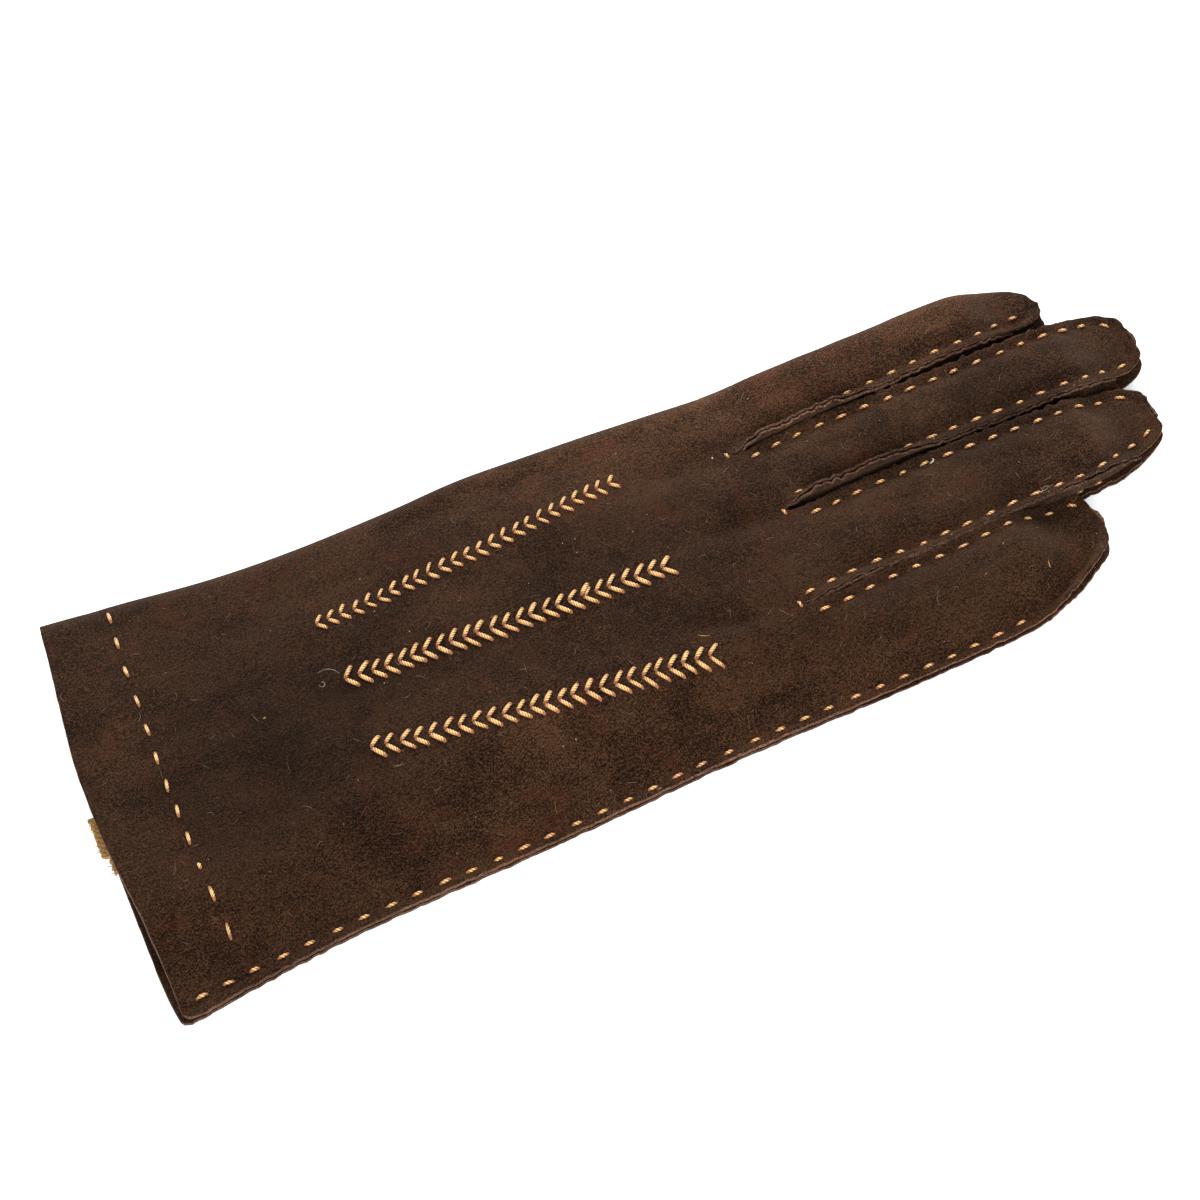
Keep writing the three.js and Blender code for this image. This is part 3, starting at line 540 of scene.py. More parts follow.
def close_leather(sheet: Leather, cut: CutEdge = CutEdge()) -> tuple[np.ndarray, list, list]:
    """Gives a sheet its thickness, with rounded cut edges.

    Args:
        sheet: The outer face, its quads facing out, and the thickness at each point.
        cut: Shape of the cut edge.

    Returns:
        Points, faces, and for each face 0 for the leather's face or 1 for its cut edge.
    """
    outer, quads = sheet.outer, sheet.quads
    count = len(outer)
    normals = point_normals(outer, quads)
    inner = outer - normals * sheet.thickness[:, None]
    heads, tails = quads.ravel(), quads[:, [1, 2, 3, 0]].ravel()
    there = set((heads.astype(np.int64) * count + tails).tolist())
    back = tails.astype(np.int64) * count + heads
    open_edges = [(int(p), int(q)) for p, q, k in zip(heads, tails, back) if int(k) not in there]
    out = np.zeros_like(outer)
    for p, q in open_edges:
        way = np.cross(outer[q] - outer[p], normals[p] + normals[q])
        out[p] += way
        out[q] += way
    rim_points = sorted({p for edge in open_edges for p in edge})
    number = {p: i for i, p in enumerate(rim_points)}
    ids = np.array(rim_points)
    way = out[ids] / np.maximum(np.linalg.norm(out[ids], axis=1), 1e-9)[:, None]
    rng = np.random.default_rng(41)
    rings = []
    for share, swell in zip(cut.shares, cut.swell):
        uneven = 1 + 0.15 * rng.standard_normal(len(ids))[:, None]
        rings.append(outer[ids] + (inner[ids] - outer[ids]) * share + way * swell * uneven)
    points = np.vstack([outer, inner, *rings])
    faces = both_faces(quads, count)
    kinds = [0] * len(faces)
    between = [(lambda p, k=k: 2 * count + k * len(ids) + number[p]) for k in range(len(rings))]
    levels = [lambda p: p, *between, lambda p: p + count]
    for p, q in open_edges:
        for upper, lower in zip(levels[:-1], levels[1:]):
            faces.append((upper(q), upper(p), lower(p), lower(q)))
            kinds.append(1)
    return points, faces, kinds


def new_piece(name: str, points: np.ndarray, faces: Sequence, materials: Sequence[bpy.types.Material],
              kinds: Sequence[int] | None = None) -> bpy.types.Object:
    """Makes a mesh object from pattern points.

    Args:
        name: Name of the piece.
        points: Points in millimetres, in the pattern's axes.
        faces: Faces as point numbers.
        materials: The piece's materials.
        kinds: Which material each face has.

    Returns:
        The new object, in the scene.
    """
    mesh = bpy.data.meshes.new(name)
    mesh.from_pydata(to_frame(points).tolist(), [], [list(face) for face in faces])
    for material in materials:
        mesh.materials.append(material)
    if kinds is not None:
        mesh.polygons.foreach_set("material_index", np.asarray(kinds, dtype=np.int32))
    mesh.polygons.foreach_set("use_smooth", np.full(len(mesh.polygons), True))
    mesh.update()
    # Painted light and shade of the back, stored on every point for the suede finishes to multiply into their
    # colour.
    mesh.attributes.new("painted_light_and_shade", "FLOAT", "POINT").data.foreach_set("value", GloveForm().painted_light_and_shade(points))
    piece = bpy.data.objects.new(name, mesh)
    bpy.context.scene.collection.objects.link(piece)
    return piece


# Finishes


def rgba(color: Sequence[float]) -> tuple[float, float, float, float]:
    """A colour with full opacity."""
    return (*color, 1.0)


COLOR, VALUE = "NodeSocketColor", "NodeSocketFloat"
EFFECT_OUTPUTS = {"Color": COLOR, "Height": VALUE, "Roughness": VALUE}


class Bump(NamedTuple):
    """Fine relief of a finish: its height, strength and depth in metres."""

    height: bpy.types.NodeSocket
    strength: float
    distance: float


class NodeBench:
    """Lays out shader nodes in one node tree."""

    COLOR_MIX_INPUTS = (0, 6, 7)  # the factor and the two colours among a mix node's inputs
    COLOR_MIX_OUTPUT = 2

    def __init__(self, tree: bpy.types.NodeTree) -> None:
        """Starts on an empty tree.

        Args:
            tree: The node tree to fill.
        """
        self.tree = tree
        tree.nodes.clear()

    def add(self, kind: str, **settings: object) -> bpy.types.Node:
        """Adds a node and sets its properties."""
        node = self.tree.nodes.new(kind)
        for key, value in settings.items():
            setattr(node, key, value)
        return node

    def join(self, source: object, target: bpy.types.NodeSocket) -> None:
        """Links an output to an input, or sets a constant on it."""
        if isinstance(source, bpy.types.NodeSocket):
            self.tree.links.new(source, target)
        else:
            target.default_value = source

    def millimetres(self, stretch: Sequence[float] = (1, 1, 1)) -> bpy.types.NodeSocket:
        """The object's own coordinates in millimetres, stretched along its axes."""
        place = self.add("ShaderNodeTexCoord")
        scale = self.add("ShaderNodeMapping")
        scale.inputs["Scale"].default_value = [1000 * s for s in stretch]
        self.join(place.outputs["Object"], scale.inputs["Vector"])
        return scale.outputs["Vector"]

    def noise(self, where: bpy.types.NodeSocket, size: float | bpy.types.NodeSocket, detail: float = 2.0,
              distortion: float = 0.0, roughness: float = 0.5) -> bpy.types.NodeSocket:
        """Soft noise whose grains are about the given size in millimetres."""
        node = self.add("ShaderNodeTexNoise")
        node.inputs["Detail"].default_value = detail
        node.inputs["Distortion"].default_value = distortion
        node.inputs["Roughness"].default_value = roughness
        fixed = isinstance(size, float)
        self.join(1.0 / size if fixed else self.math("DIVIDE", 1.0, size), node.inputs["Scale"])
        self.join(where, node.inputs["Vector"])
        return node.outputs["Fac"]

    def math(self, operation: str, a: float | bpy.types.NodeSocket, b: float | bpy.types.NodeSocket = 0.0,
             clamp: bool = False) -> bpy.types.NodeSocket:
        """A sum, product or other step on values."""
        node = self.add("ShaderNodeMath", operation=operation, use_clamp=clamp)
        for socket, value in zip(node.inputs, (a, b)):
            self.join(value, socket)
        return node.outputs[0]

    def total(self, *parts: tuple[bpy.types.NodeSocket, float]) -> bpy.types.NodeSocket:
        """Adds up values, each times its own weight."""
        terms = [self.math("MULTIPLY", value, weight) for value, weight in parts]
        result = terms[0]
        for term in terms[1:]:
            result = self.math("ADD", result, term)
        return result

    def ramp(self, value: bpy.types.NodeSocket, low: float, high: float, start: float = 0.0,
             end: float = 1.0) -> bpy.types.NodeSocket:
        """Maps the range low to high onto start to end, with soft ends."""
        node = self.add("ShaderNodeMapRange", interpolation_type="SMOOTHSTEP")
        keys = ("Value", "From Min", "From Max", "To Min", "To Max")
        for key, setting in zip(keys, (value, low, high, start, end)):
            self.join(setting, node.inputs[key])
        return node.outputs["Result"]

    def mix(self, share: float | bpy.types.NodeSocket, first: object, second: object,
            blend: str = "MIX") -> bpy.types.NodeSocket:
        """Mixes two colours."""
        node = self.add("ShaderNodeMix", data_type="RGBA", blend_type=blend)
        for place, value in zip(self.COLOR_MIX_INPUTS, (share, first, second)):
            self.join(value, node.inputs[place])
        return node.outputs[self.COLOR_MIX_OUTPUT]

    def surface(self, color: bpy.types.NodeSocket, roughness: bpy.types.NodeSocket,
                constants: dict[str, float | tuple], bump: Bump | None = None) -> None:
        """Lays out the material's shader, its bump and its output.

        Args:
            color: Base colour.
            roughness: Roughness.
            constants: Values of other inputs of the shader.
            bump: Fine relief, if any.
        """
        shader = self.add("ShaderNodeBsdfPrincipled")
        for key, value in {"Base Color": color, "Roughness": roughness, **constants}.items():
            self.join(value, shader.inputs[key])
        if bump is not None:
            node = self.add("ShaderNodeBump")
            for key in ("Strength", "Distance", "Height"):
                self.join(getattr(bump, key.lower()), node.inputs[key])
            self.join(node.outputs["Normal"], shader.inputs["Normal"])
        self.join(shader.outputs["BSDF"], self.add("ShaderNodeOutputMaterial").inputs["Surface"])


def start_material(name: str) -> tuple[bpy.types.Material, NodeBench]:
    """A new, empty material and its bench."""
    material = bpy.data.materials.new(name)
    material.use_nodes = True
    return material, NodeBench(material.node_tree)


def effect_group(name: str, inputs: dict[str, float | tuple], outputs: dict[str, str]) -> tuple:
    """Starts a shared effect.

    Args:
        name: Name of the node group.
        inputs: Each input's name and usual value; a tuple makes it a colour.
        outputs: Each output's name and kind of socket.

    Returns:
        The group's tree, its bench, its input node and its output node.
    """
    tree = bpy.data.node_groups.new(name, "ShaderNodeTree")
    bench = NodeBench(tree)
    for key, value in inputs.items():
        kind = COLOR if isinstance(value, tuple) else VALUE
        socket = tree.interface.new_socket(name=key, in_out="INPUT", socket_type=kind)
        socket.default_value = value
    for key, kind in outputs.items():
        tree.interface.new_socket(name=key, in_out="OUTPUT", socket_type=kind)
    return tree, bench, bench.add("NodeGroupInput"), bench.add("NodeGroupOutput")


class SharedEffects:
    """Node groups of the finishes' effects, each built once; the nap serves several finishes."""

    def __init__(self) -> None:
        """Builds the nap and the twisted thread."""
        self.nap = self._nap()
        self.strand = self._strand()

    @staticmethod
    def _nap() -> bpy.types.NodeTree:
        """Brushed fibres of suede: colour, height and roughness."""
        tree, bench, given, out = effect_group("suede_nap", {
            "Deep": (0.02, 0.01, 0.007, 1.0), "Raised": (0.08, 0.045, 0.03, 1.0),
            "Rust": (0.07, 0.02, 0.012, 1.0), "Dust": (0.3, 0.26, 0.22, 1.0), "Grain Size": 0.34,
            "Contrast": 1.0}, EFFECT_OUTPUTS)
        plain = bench.millimetres()
        brushed = bench.millimetres((0.55, 1.0, 1.0))
        patches = bench.noise(plain, 21.0, 3.0, 0.6)
        strokes = bench.noise(brushed, 7.5, 4.0, 1.1)
        tufts = bench.noise(plain, 1.1, 3.0, 0.8)
        grain = bench.noise(plain, given.outputs["Grain Size"], 2.0, 0.3, 0.65)
        fibres = bench.noise(bench.millimetres((0.35, 1.3, 1.3)), 0.28, 2.0, 1.6)
        tone = bench.total(
            (bench.ramp(patches, 0.3, 0.7), 0.17), (bench.ramp(strokes, 0.3, 0.7), 0.11),
            (bench.ramp(tufts, 0.32, 0.7), 0.06), (bench.ramp(grain, 0.41, 0.64), 0.43),
            (bench.ramp(fibres, 0.4, 0.62), 0.23))
        tone = bench.math("MULTIPLY", bench.math("SUBTRACT", tone, 0.5), given.outputs["Contrast"])
        tone = bench.math("ADD", tone, 0.5, clamp=True)
        color = bench.mix(tone, given.outputs["Deep"], given.outputs["Raised"])
        rust_patch = bench.math("MULTIPLY", bench.ramp(bench.noise(plain, 15.0, 2.0, 1.5), 0.55, 0.74),
                                bench.ramp(tufts, 0.3, 0.7, 0.35, 1.0))
        color = bench.mix(bench.math("MULTIPLY", rust_patch, 0.4), color, given.outputs["Rust"])
        specks = bench.math("MULTIPLY", bench.ramp(bench.noise(plain, 0.45, 0.0), 0.82, 0.85),
                            bench.ramp(patches, 0.42, 0.66))
        color = bench.mix(bench.math("MULTIPLY", specks, 0.4), color, given.outputs["Dust"])
        bench.join(color, out.inputs["Color"])
        height = bench.total((grain, 0.5), (fibres, 0.3), (tufts, 0.5), (strokes, 0.5))
        bench.join(height, out.inputs["Height"])
        bench.join(bench.ramp(grain, 0.2, 0.8, 1.0, 0.86), out.inputs["Roughness"])
        return tree

    @staticmethod
    def _strand() -> bpy.types.NodeTree:
        """Spun yarn: its colour painted from lit to shaded by how far a point stands out of the leather, with
        fine fibres.
        """
        tree, bench, given, out = effect_group("spun_strand", {
            "Lit": (0.75, 0.5, 0.24, 1.0), "Shaded": (0.3, 0.12, 0.035, 1.0),
            "Soil": (0.1, 0.05, 0.03, 1.0)}, EFFECT_OUTPUTS)
        place = bench.add("ShaderNodeUVMap", uv_map="strand")
        split = bench.add("ShaderNodeSeparateXYZ")
        bench.join(place.outputs["UV"], split.inputs["Vector"])
        plain = bench.millimetres()
        fine = bench.noise(plain, 0.11, 3.0, 1.2)
        blotch = bench.noise(plain, 2.4, 2.0)
        uneven = bench.math("MULTIPLY", bench.math("SUBTRACT", fine, 0.5), 0.5)
        stand = bench.math("ADD", split.outputs["Y"], uneven)
        color = bench.mix(bench.ramp(stand, 0.28, 0.86), given.outputs["Shaded"], given.outputs["Lit"])
        soil = bench.math("MULTIPLY", bench.ramp(blotch, 0.52, 0.72), 0.28)
        color = bench.mix(soil, color, given.outputs["Soil"])
        bench.join(color, out.inputs["Color"])
        bench.join(fine, out.inputs["Height"])
        bench.join(bench.ramp(fine, 0.3, 0.7, 0.75, 0.55), out.inputs["Roughness"])
        return tree


@dataclass(frozen=True)
class SuedeFinish:
    """Napped leather."""

    name: str = "suede"
    deep: tuple = (0.0026, 0.0009, 0.0004)
    raised: tuple = (0.0440, 0.0200, 0.0093)
    rust: tuple = (0.040, 0.0100, 0.0045)
    dust: tuple = (0.16, 0.12, 0.085)
    grain: float = 0.33
    contrast: float = 2.15
    relief: float = 0.9
    sheen: float = 0.1

    def make(self, effects: SharedEffects) -> bpy.types.Material:
        """Builds the material.

        Args:
            effects: The shared node groups.

        Returns:
            The material.
        """
        material, bench = start_material(self.name)
        nap = bench.add("ShaderNodeGroup", node_tree=effects.nap)
        for key, value in (("Deep", rgba(self.deep)), ("Raised", rgba(self.raised)),
                           ("Rust", rgba(self.rust)), ("Dust", rgba(self.dust)),
                           ("Grain Size", self.grain), ("Contrast", self.contrast)):
            bench.join(value, nap.inputs[key])
        # Painted light and shade: a factor read from the mesh and multiplied into the nap's colour.
        painted_light_factor = bench.add("ShaderNodeAttribute", attribute_name="painted_light_and_shade")
        color = bench.mix(1.0, nap.outputs["Color"], painted_light_factor.outputs["Fac"], "MULTIPLY")
        bench.surface(color, nap.outputs["Roughness"], {
            "Specular IOR Level": 0.05, "Sheen Weight": self.sheen, "Sheen Roughness": 0.5,
            "Sheen Tint": (0.8, 0.5, 0.34, 1.0)}, Bump(nap.outputs["Height"], self.relief, 0.0003))
        return material


@dataclass(frozen=True)
class ThreadFinish:
    """Spun sewing thread."""

    name: str = "tan_thread"
    lit: tuple = (0.80, 0.485, 0.168)
    shaded: tuple = (0.27, 0.085, 0.012)
    soil: tuple = (0.13, 0.06, 0.026)
    relief: float = 0.6
    sheen: float = 0.25

    def make(self, effects: SharedEffects) -> bpy.types.Material:
        """Builds the material.

        Args:
            effects: The shared node groups.

        Returns:
            The material.
        """
        material, bench = start_material(self.name)
        strand = bench.add("ShaderNodeGroup", node_tree=effects.strand)
        for key, value in (("Lit", self.lit), ("Shaded", self.shaded), ("Soil", self.soil)):
            bench.join(rgba(value), strand.inputs[key])
        bench.surface(strand.outputs["Color"], strand.outputs["Roughness"],
                      {"Specular IOR Level": 0.5, "Sheen Weight": self.sheen},
                      Bump(strand.outputs["Height"], self.relief, 0.0001))
        return material


@dataclass(frozen=True)
class TapeFinish:
    """Ochre woven tape."""

    name: str = "ochre_tape"
    light: tuple = (0.42, 0.235, 0.078)
    dark: tuple = (0.15, 0.07, 0.02)

    def make(self) -> bpy.types.Material:
        """Builds the material.

        Returns:
            The material.
        """
        material, bench = start_material(self.name)
        yarns = bench.noise(bench.millimetres((0.3, 2.0, 1.0)), 0.5, 3.0, 0.4)
        fuzz = bench.noise(bench.millimetres(), 0.2, 3.0, 1.0)
        tone = bench.ramp(bench.total((yarns, 0.6), (fuzz, 0.4)), 0.36, 0.64)
        color = bench.mix(tone, rgba(self.dark), rgba(self.light))
        bench.surface(color, bench.ramp(fuzz, 0.3, 0.7, 0.75, 0.95), {"Specular IOR Level": 0.2},
                      Bump(fuzz, 0.6, 0.0001))
        return material


@dataclass(frozen=True)
class PaperFinish:
    """White studio floor, lit a little from below."""

    name: str = "white_floor"
    color: tuple = (0.93, 0.93, 0.94)
    shade: tuple = (0.90, 0.905, 0.915)
    glow: float = 0.35

    def make(self) -> bpy.types.Material:
        """Builds the material.

        Returns:
            The material.
        """
        material, bench = start_material(self.name)
        cloud = bench.noise(bench.millimetres(), 240.0, 2.0)
        color = bench.mix(bench.ramp(cloud, 0.3, 0.7), rgba(self.shade), rgba(self.color))
        bench.surface(color, bench.ramp(cloud, 0.3, 0.7, 0.8, 0.9), {
            "Specular IOR Level": 0.1, "Emission Color": (0.93, 0.97, 1.0, 1.0),
            "Emission Strength": self.glow})
        return material


# Leather


@dataclass(frozen=True)
class SeamWork:
    """What an outside seam does to the leather: raised raw edges and puckers between the stitches."""

    stitch_inset: float = 2.1
    groove: float = 0.34
    groove_width: float = 0.95
    pucker: float = 0.2
    pitch: float = 5.65
    edge_wave: Ripple = Ripple(5, 12.0, 3.4, 10)
    lift_wave: Ripple = Ripple(9, 13.0, 4.4, 10)
    frill: Ripple = Ripple(15, 4.4, 2.1, 12)

    def relief(self, near: np.ndarray, run: np.ndarray, lift: np.ndarray, shift: float = 0.0) -> np.ndarray:
        """Height that the seam adds to the leather.

        Args:
            near: Distance from the raw edge.
            run: Distance along the seam.
            lift: How high the raw edge stands up.
            shift: Where along the seam the waves start.

        Returns:
            Height to add, negative in the sewn groove.
        """
        crest = lift * (1 + 0.13 * self.lift_wave.line(run + shift)) * smooth((1.9 - near) / 1.7)
        crest = crest + (0.11 + 0.12 * lift) * self.frill.line(run + shift) * smooth((1.3 - near) / 1.2)
        pull = 1 + 0.5 * np.cos(2 * np.pi * run / self.pitch)
        groove = -self.groove * pull * bell(near - self.stitch_inset - 0.3, self.groove_width)
        pucker = self.pucker * np.cos(2 * np.pi * run / self.pitch + 0.8) * bell(near - 3.4, 1.9)
        return crest + groove + pucker

    def sway(self, near: np.ndarray, run: np.ndarray, lift: float | np.ndarray = 0.0,
             shift: float = 0.0) -> np.ndarray:
        """How far the raw edge wanders in and out, fading to nothing at the stitches.

        Args:
            near: Distance from the raw edge.
            run: Distance along the seam.
            lift: How high the raw edge stands up, which draws it in.
            shift: Where along the seam the waves start.

        Returns:
            Distance outwards, negative where the edge is drawn in.
        """
        wave = 0.17 * self.edge_wave.line(run + shift) + 0.16 * self.frill.line(1.07 * run + shift + 9)
        wander = wave * clamp01(1 - near / 1.8)
        tilt = 1 - np.sqrt(1 - np.minimum(lift / 2, 0.95) ** 2)
        return wander - tilt * np.maximum(2 - near, 0)


@dataclass
class Trank:
    """Palm, back and fingers in one piece of suede, folded on the index side."""

    form: GloveForm
    seams: SeamWork = SeamWork()
    back_step: float = 1.1
    palm_step: float = 2.1
    back_columns: tuple[float, ...] = (0, 0.4, 0.85, 1.35, 1.85, 2.4, 3.1, 4.0)
    palm_columns: tuple[float, ...] = (0, 0.7, 1.5, 2.6, 4.0)
    row_step: float = 0.86
    fold_steps: int = 9
    slack: Ripple = Ripple(21, 46.0, 13.0, 12)
    creases: Ripple = Ripple(33, 13.0, 5.0, 14)
    curl: float = 2.0
    paring: float = 0.42
    points: list = field(default_factory=list)
    quads: list = field(default_factory=list)
    thickness: list = field(default_factory=list)
    count: int = 0

    def _shares(self, finger: Finger, side: Side) -> np.ndarray:
        """Shares of a strip's width where its columns run, closer at sewn edges."""
        edge = finger.edges[0]
        high = edge.a - (0 if finger.sewn_a else self.form.fold_reach)
        width = high - edge.b
        step = self.back_step if side is Side.BACK else self.palm_step
        close = np.array(self.back_columns if side is Side.BACK else self.palm_columns)
        high_part = width - close[::-1] if finger.sewn_a else np.array([width - 0.9, width])
        count = max(2, int(round((high_part[0] - close[-1]) / step)) + 1)
        inner = np.linspace(close[-1], high_part[0], count)
        return np.r_[close, inner[1:-1], high_part] / width

    def _angles(self) -> np.ndarray:
        """Angles of the fold's columns, from the back's first to the fold's line."""
        return np.radians(90.0) * (1 - np.arange(1, self.fold_steps + 1) / self.fold_steps)

    def _add(self, grid: np.ndarray, thickness: np.ndarray) -> np.ndarray:
        """Keeps a grid of points and returns their numbers."""
        numbers = np.arange(self.count, self.count + grid.shape[0] * grid.shape[1]).reshape(grid.shape[:2])
        self.points.append(grid.reshape(-1, 3))
        self.thickness.append(np.broadcast_to(thickness, grid.shape[:2]).reshape(-1))
        self.count += numbers.size
        return numbers

    def _join(self, numbers: np.ndarray, side: Side) -> None:
        """Makes quads of a grid whose columns run from the side seam to the fold."""
        quads = grid_quads(numbers)
        self.quads.append(quads if side is Side.BACK else quads[:, [0, 3, 2, 1]])

    def _side_seam(self, near: np.ndarray, x: np.ndarray, side: Side) -> tuple[np.ndarray, np.ndarray]:
        """Height that the side seam adds near its raw edge, and how far that edge moves out."""
        if side is Side.PALM:
            edge = self.seams.lift_wave.line(x + 40) * 0.22 * smooth((1.9 - near) / 1.9)
            more = edge + 0.18 * bell(near - 2.1, 0.9)
        else:
            more = self.seams.relief(near, x, 0.22 + 0.1 * self.seams.lift_wave.line(x * 0.4))
        return more, 0.42 * self.seams.sway(near, x)

    def _hand_surface(self, x: np.ndarray, y: np.ndarray, side: Side) -> np.ndarray:
        """Outer height over the hand, with folds and puckers."""
        form = self.form
        back, palm = form.hand_heights(x, y)
        near = y - form.seam_y(x)
        seam, _ = self._side_seam(near, x, side)
        if side is Side.PALM:
            return np.maximum(palm + seam, 0.0)
        inside = smooth((near - 3) / 12) * smooth((form.fold_y(x) - y - 4) / 10)
        back = back + inside * (0.3 * self.slack.field(x, y) + 0.07 * self.creases.field(x, y))
        back = back + seam
        hem = bell(x - form.hem_line, 0.75) * smooth((near - 6) / 3)
        back = back - 0.3 * hem * (1 + 0.6 * np.cos(2 * np.pi * (y - 2.6) / 6.95))
        back = back - 0.18 * bell(x - form.hem_line + 2.4, 1.6) * smooth((near - 6) / 3)
        return back

    def _finger_surface(self, finger: Finger, x: np.ndarray, y: np.ndarray, start: np.ndarray,
                        side: Side) -> tuple[np.ndarray, np.ndarray]:
        """Outer height over a finger, and how far its edge moves sideways."""
        form, seams = self.form, self.seams
        hand_back, hand_palm = form.hand_heights(x, y)
        own_back, own_palm = form.finger_heights(finger, x, y)
        neck = smooth((x - start) / form.neck)
        back, palm = lerp(hand_back, own_back, neck), lerp(hand_palm, own_palm, neck)
        a, b = finger.edge_a(x, side), finger.edge_b(x, side)
        slant_a = (finger.edge_a(x + 0.3, side) - finger.edge_a(x - 0.3, side)) / 0.6
        slant_b = (finger.edge_b(x + 0.3, side) - finger.edge_b(x - 0.3, side)) / 0.6
        long_a, long_b = (np.hypot(1, np.clip(slant, -2.5, 2.5)) for slant in (slant_a, slant_b))
        near_a = (a - y) / long_a if finger.sewn_a else np.full_like(y, 99.0)
        near_b = (y - b) / long_b
        near_tip = finger.tip.x - x
        begin = smooth((x - start) / 8.0)
        shift = {"index": 0.0, "middle": 31.0, "ring": 67.0, "little": 103.0}[finger.name]
        end_lift = np.full_like(x, 0.3)
        add = np.zeros_like(y)
        sway = np.zeros_like(y)
        for near, turn, sign, own_lift in ((near_a, 1, 1, finger.lift_a), (near_b, 2, -1, finger.lift_b)):
            if turn == 1 and not finger.sewn_a:
                continue
            calm = 1 - 0.88 * smooth((x - finger.tip.x + 15) / 10)
            if turn == 2 and not finger.sewn_b:
                more, move = self._side_seam(near, x, side)
                add, sway = add + more, sway - calm * move
                continue
            lift = own_lift.at(x)
            reach = lerp(1.0, 0.6, smooth((x - finger.tip.x + 14) / 10))
            if side is Side.BACK:
                add = add + begin * seams.relief(near, x, lift * reach, shift + 50 * turn)
            else:
                edge = smooth((1.9 - near) / 1.9)
                rise = 0.25 + 0.22 * seams.lift_wave.line(x + shift + 23 * turn)
                add = add + begin * (edge * rise + 0.3 * bell(near - 2.1, 0.9))
            drawn = lift * reach if side is Side.BACK else 0.0
            sway = sway + sign * calm * seams.sway(near, x, drawn, shift + 17 * turn) * begin
        tip_seam = seams.relief(near_tip, y * 1.4, end_lift, shift + 5) * smooth((4 - near_tip) / 2)
        if side is Side.BACK:
            add = add + tip_seam
            inside = smooth((np.minimum(np.minimum(near_a, near_b), near_tip) - 2.5) / 5) * neck
            loose = 0.22 * self.slack.field(x * 1.6 + shift, y * 1.6)
            add = add + inside * (loose + 0.06 * self.creases.field(x, y))
        if finger.name == "ring" and side is Side.BACK:
            sway = sway + 1.1 * bell(x - 105, 9.0) * clamp01((2 - near_b) / 2)
        if finger.name == "little":
            window = smooth((x - 80) / 12) * smooth((finger.tip.x - 0.5 - x) / 5)
            rolled = smooth((2.7 - near_b) / 2.3) * window
            add = add + self.curl * rolled - 0.6 * bell(near_b - 3.4, 0.9) * window
            sway = sway + (0.6 + 0.3 * seams.frill.line(1.5 * x + 3 * side.value)) * rolled
        return (back + add if side is Side.BACK else np.maximum(palm + add, 0.0)), sway

    def build(self) -> Leather:
        """Lays out the whole trank.

        Returns:
            The leather's outer face.
        """
        form = self.form
        low, high = form.hand_sides
        fold_line: dict[str, np.ndarray] = {}
        for side in (Side.BACK, Side.PALM):
            columns, spans = [], {}
            for finger in form.fingers:
                edge = finger.edges[0]
                top = edge.a - (0 if finger.sewn_a else form.fold_reach)
                ys = edge.b + self._shares(finger, side) * (top - edge.b)
                first = 0 if not columns else 1
                begin = len(columns) - (1 if first else 0)
                columns.extend(ys[first:])
                spans[finger.name] = (begin, len(columns))
            flat_y = np.array(columns)
            angles = self._angles()
            fold_crotch = high - form.fold_reach * (1 - np.cos(angles))
            share = (np.r_[flat_y, fold_crotch] - low) / (high - low)
            fold = np.r_[np.full(len(flat_y), np.nan), angles]
            rows = self._hand_rows(share, fold, flat_y - low, side)
            if side is Side.BACK:
                numbers = self._add(rows, self._hem_thickness(rows))
                fold_line["hand"] = numbers[:, -1]
            else:
                own = self._add(rows[:, :-1], self._hem_thickness(rows[:, :-1]))
                numbers = np.c_[own, fold_line["hand"]]
            self._join(numbers, side)
            for finger in form.fingers:
                begin, end = spans[finger.name]
                self._finger(finger, side, numbers[-1], rows[-1], begin, end, fold_line)
        outer = np.vstack(self.points)
        quads = np.vstack(self.quads)
        thickness = np.concatenate(self.thickness)
        quads = self._thumb_hole(outer, quads)
        return Leather(outer, quads, thickness)

    def _hem_thickness(self, rows: np.ndarray) -> np.ndarray:
        """Thickness of the leather at a grid of points of the hand."""
        return self.form.leather + self.form.hem_extra(rows[..., 0], rows[..., 1])

    def _hand_rows(self, share: np.ndarray, fold: np.ndarray, from_seam: np.ndarray,
                   side: Side) -> np.ndarray:
        """Grid of the hand from the cuff to the crotch line."""
        form = self.form
        cuff = form.cuff_x(share, side)
        crotch = form.crotch_x(share)
        fringe = Ripple(77, 9.0, 2.2, 10).line(share * 88 + (0 if side is Side.BACK else 31))
        corner = form.corner_back if side is Side.BACK else form.corner_palm
        from_corner = np.full(len(share), np.inf)
        from_corner[: len(from_seam)] = from_seam
        cuff = cuff + 0.05 * fringe + corner * (1 - np.sqrt(1 - (1 - clamp01(from_corner / corner)) ** 2))
        hem_rows = int(round(14 / self.row_step))
        body_rows = int(round(136 / self.row_step))
        hem = np.r_[0, 0.02, np.linspace(0, 1, hem_rows + 1)[1:-1], 0.97]
        body = np.linspace(0, 1, body_rows + 1)
        x = np.vstack([cuff + (form.hem_line - cuff) * t for t in hem]
                      + [form.hem_line + (crotch - form.hem_line) * t for t in body])
        seam, edge = form.seam_y(x), form.fold_y(x)
        y = lerp(seam, edge, share[None])
        flat = np.isnan(fold)
        hold = np.zeros_like(share)
        hold[flat] = from_seam
        keep = smooth(hold / form.side_hold)[None]
        y[:, flat] = lerp(seam + hold[None], y, keep)[:, flat]
        bend = np.where(flat, 0.0, fold)
        y[:, ~flat] = (edge - form.fold_reach * (1 - np.cos(bend)))[:, ~flat]
        near = y - seam
        y = y - self._side_seam(near, x, side)[1] * flat[None]
        z = self._hand_surface(x, y, side)
        if (~flat).any():
            back = self._hand_surface(x, y, Side.BACK)
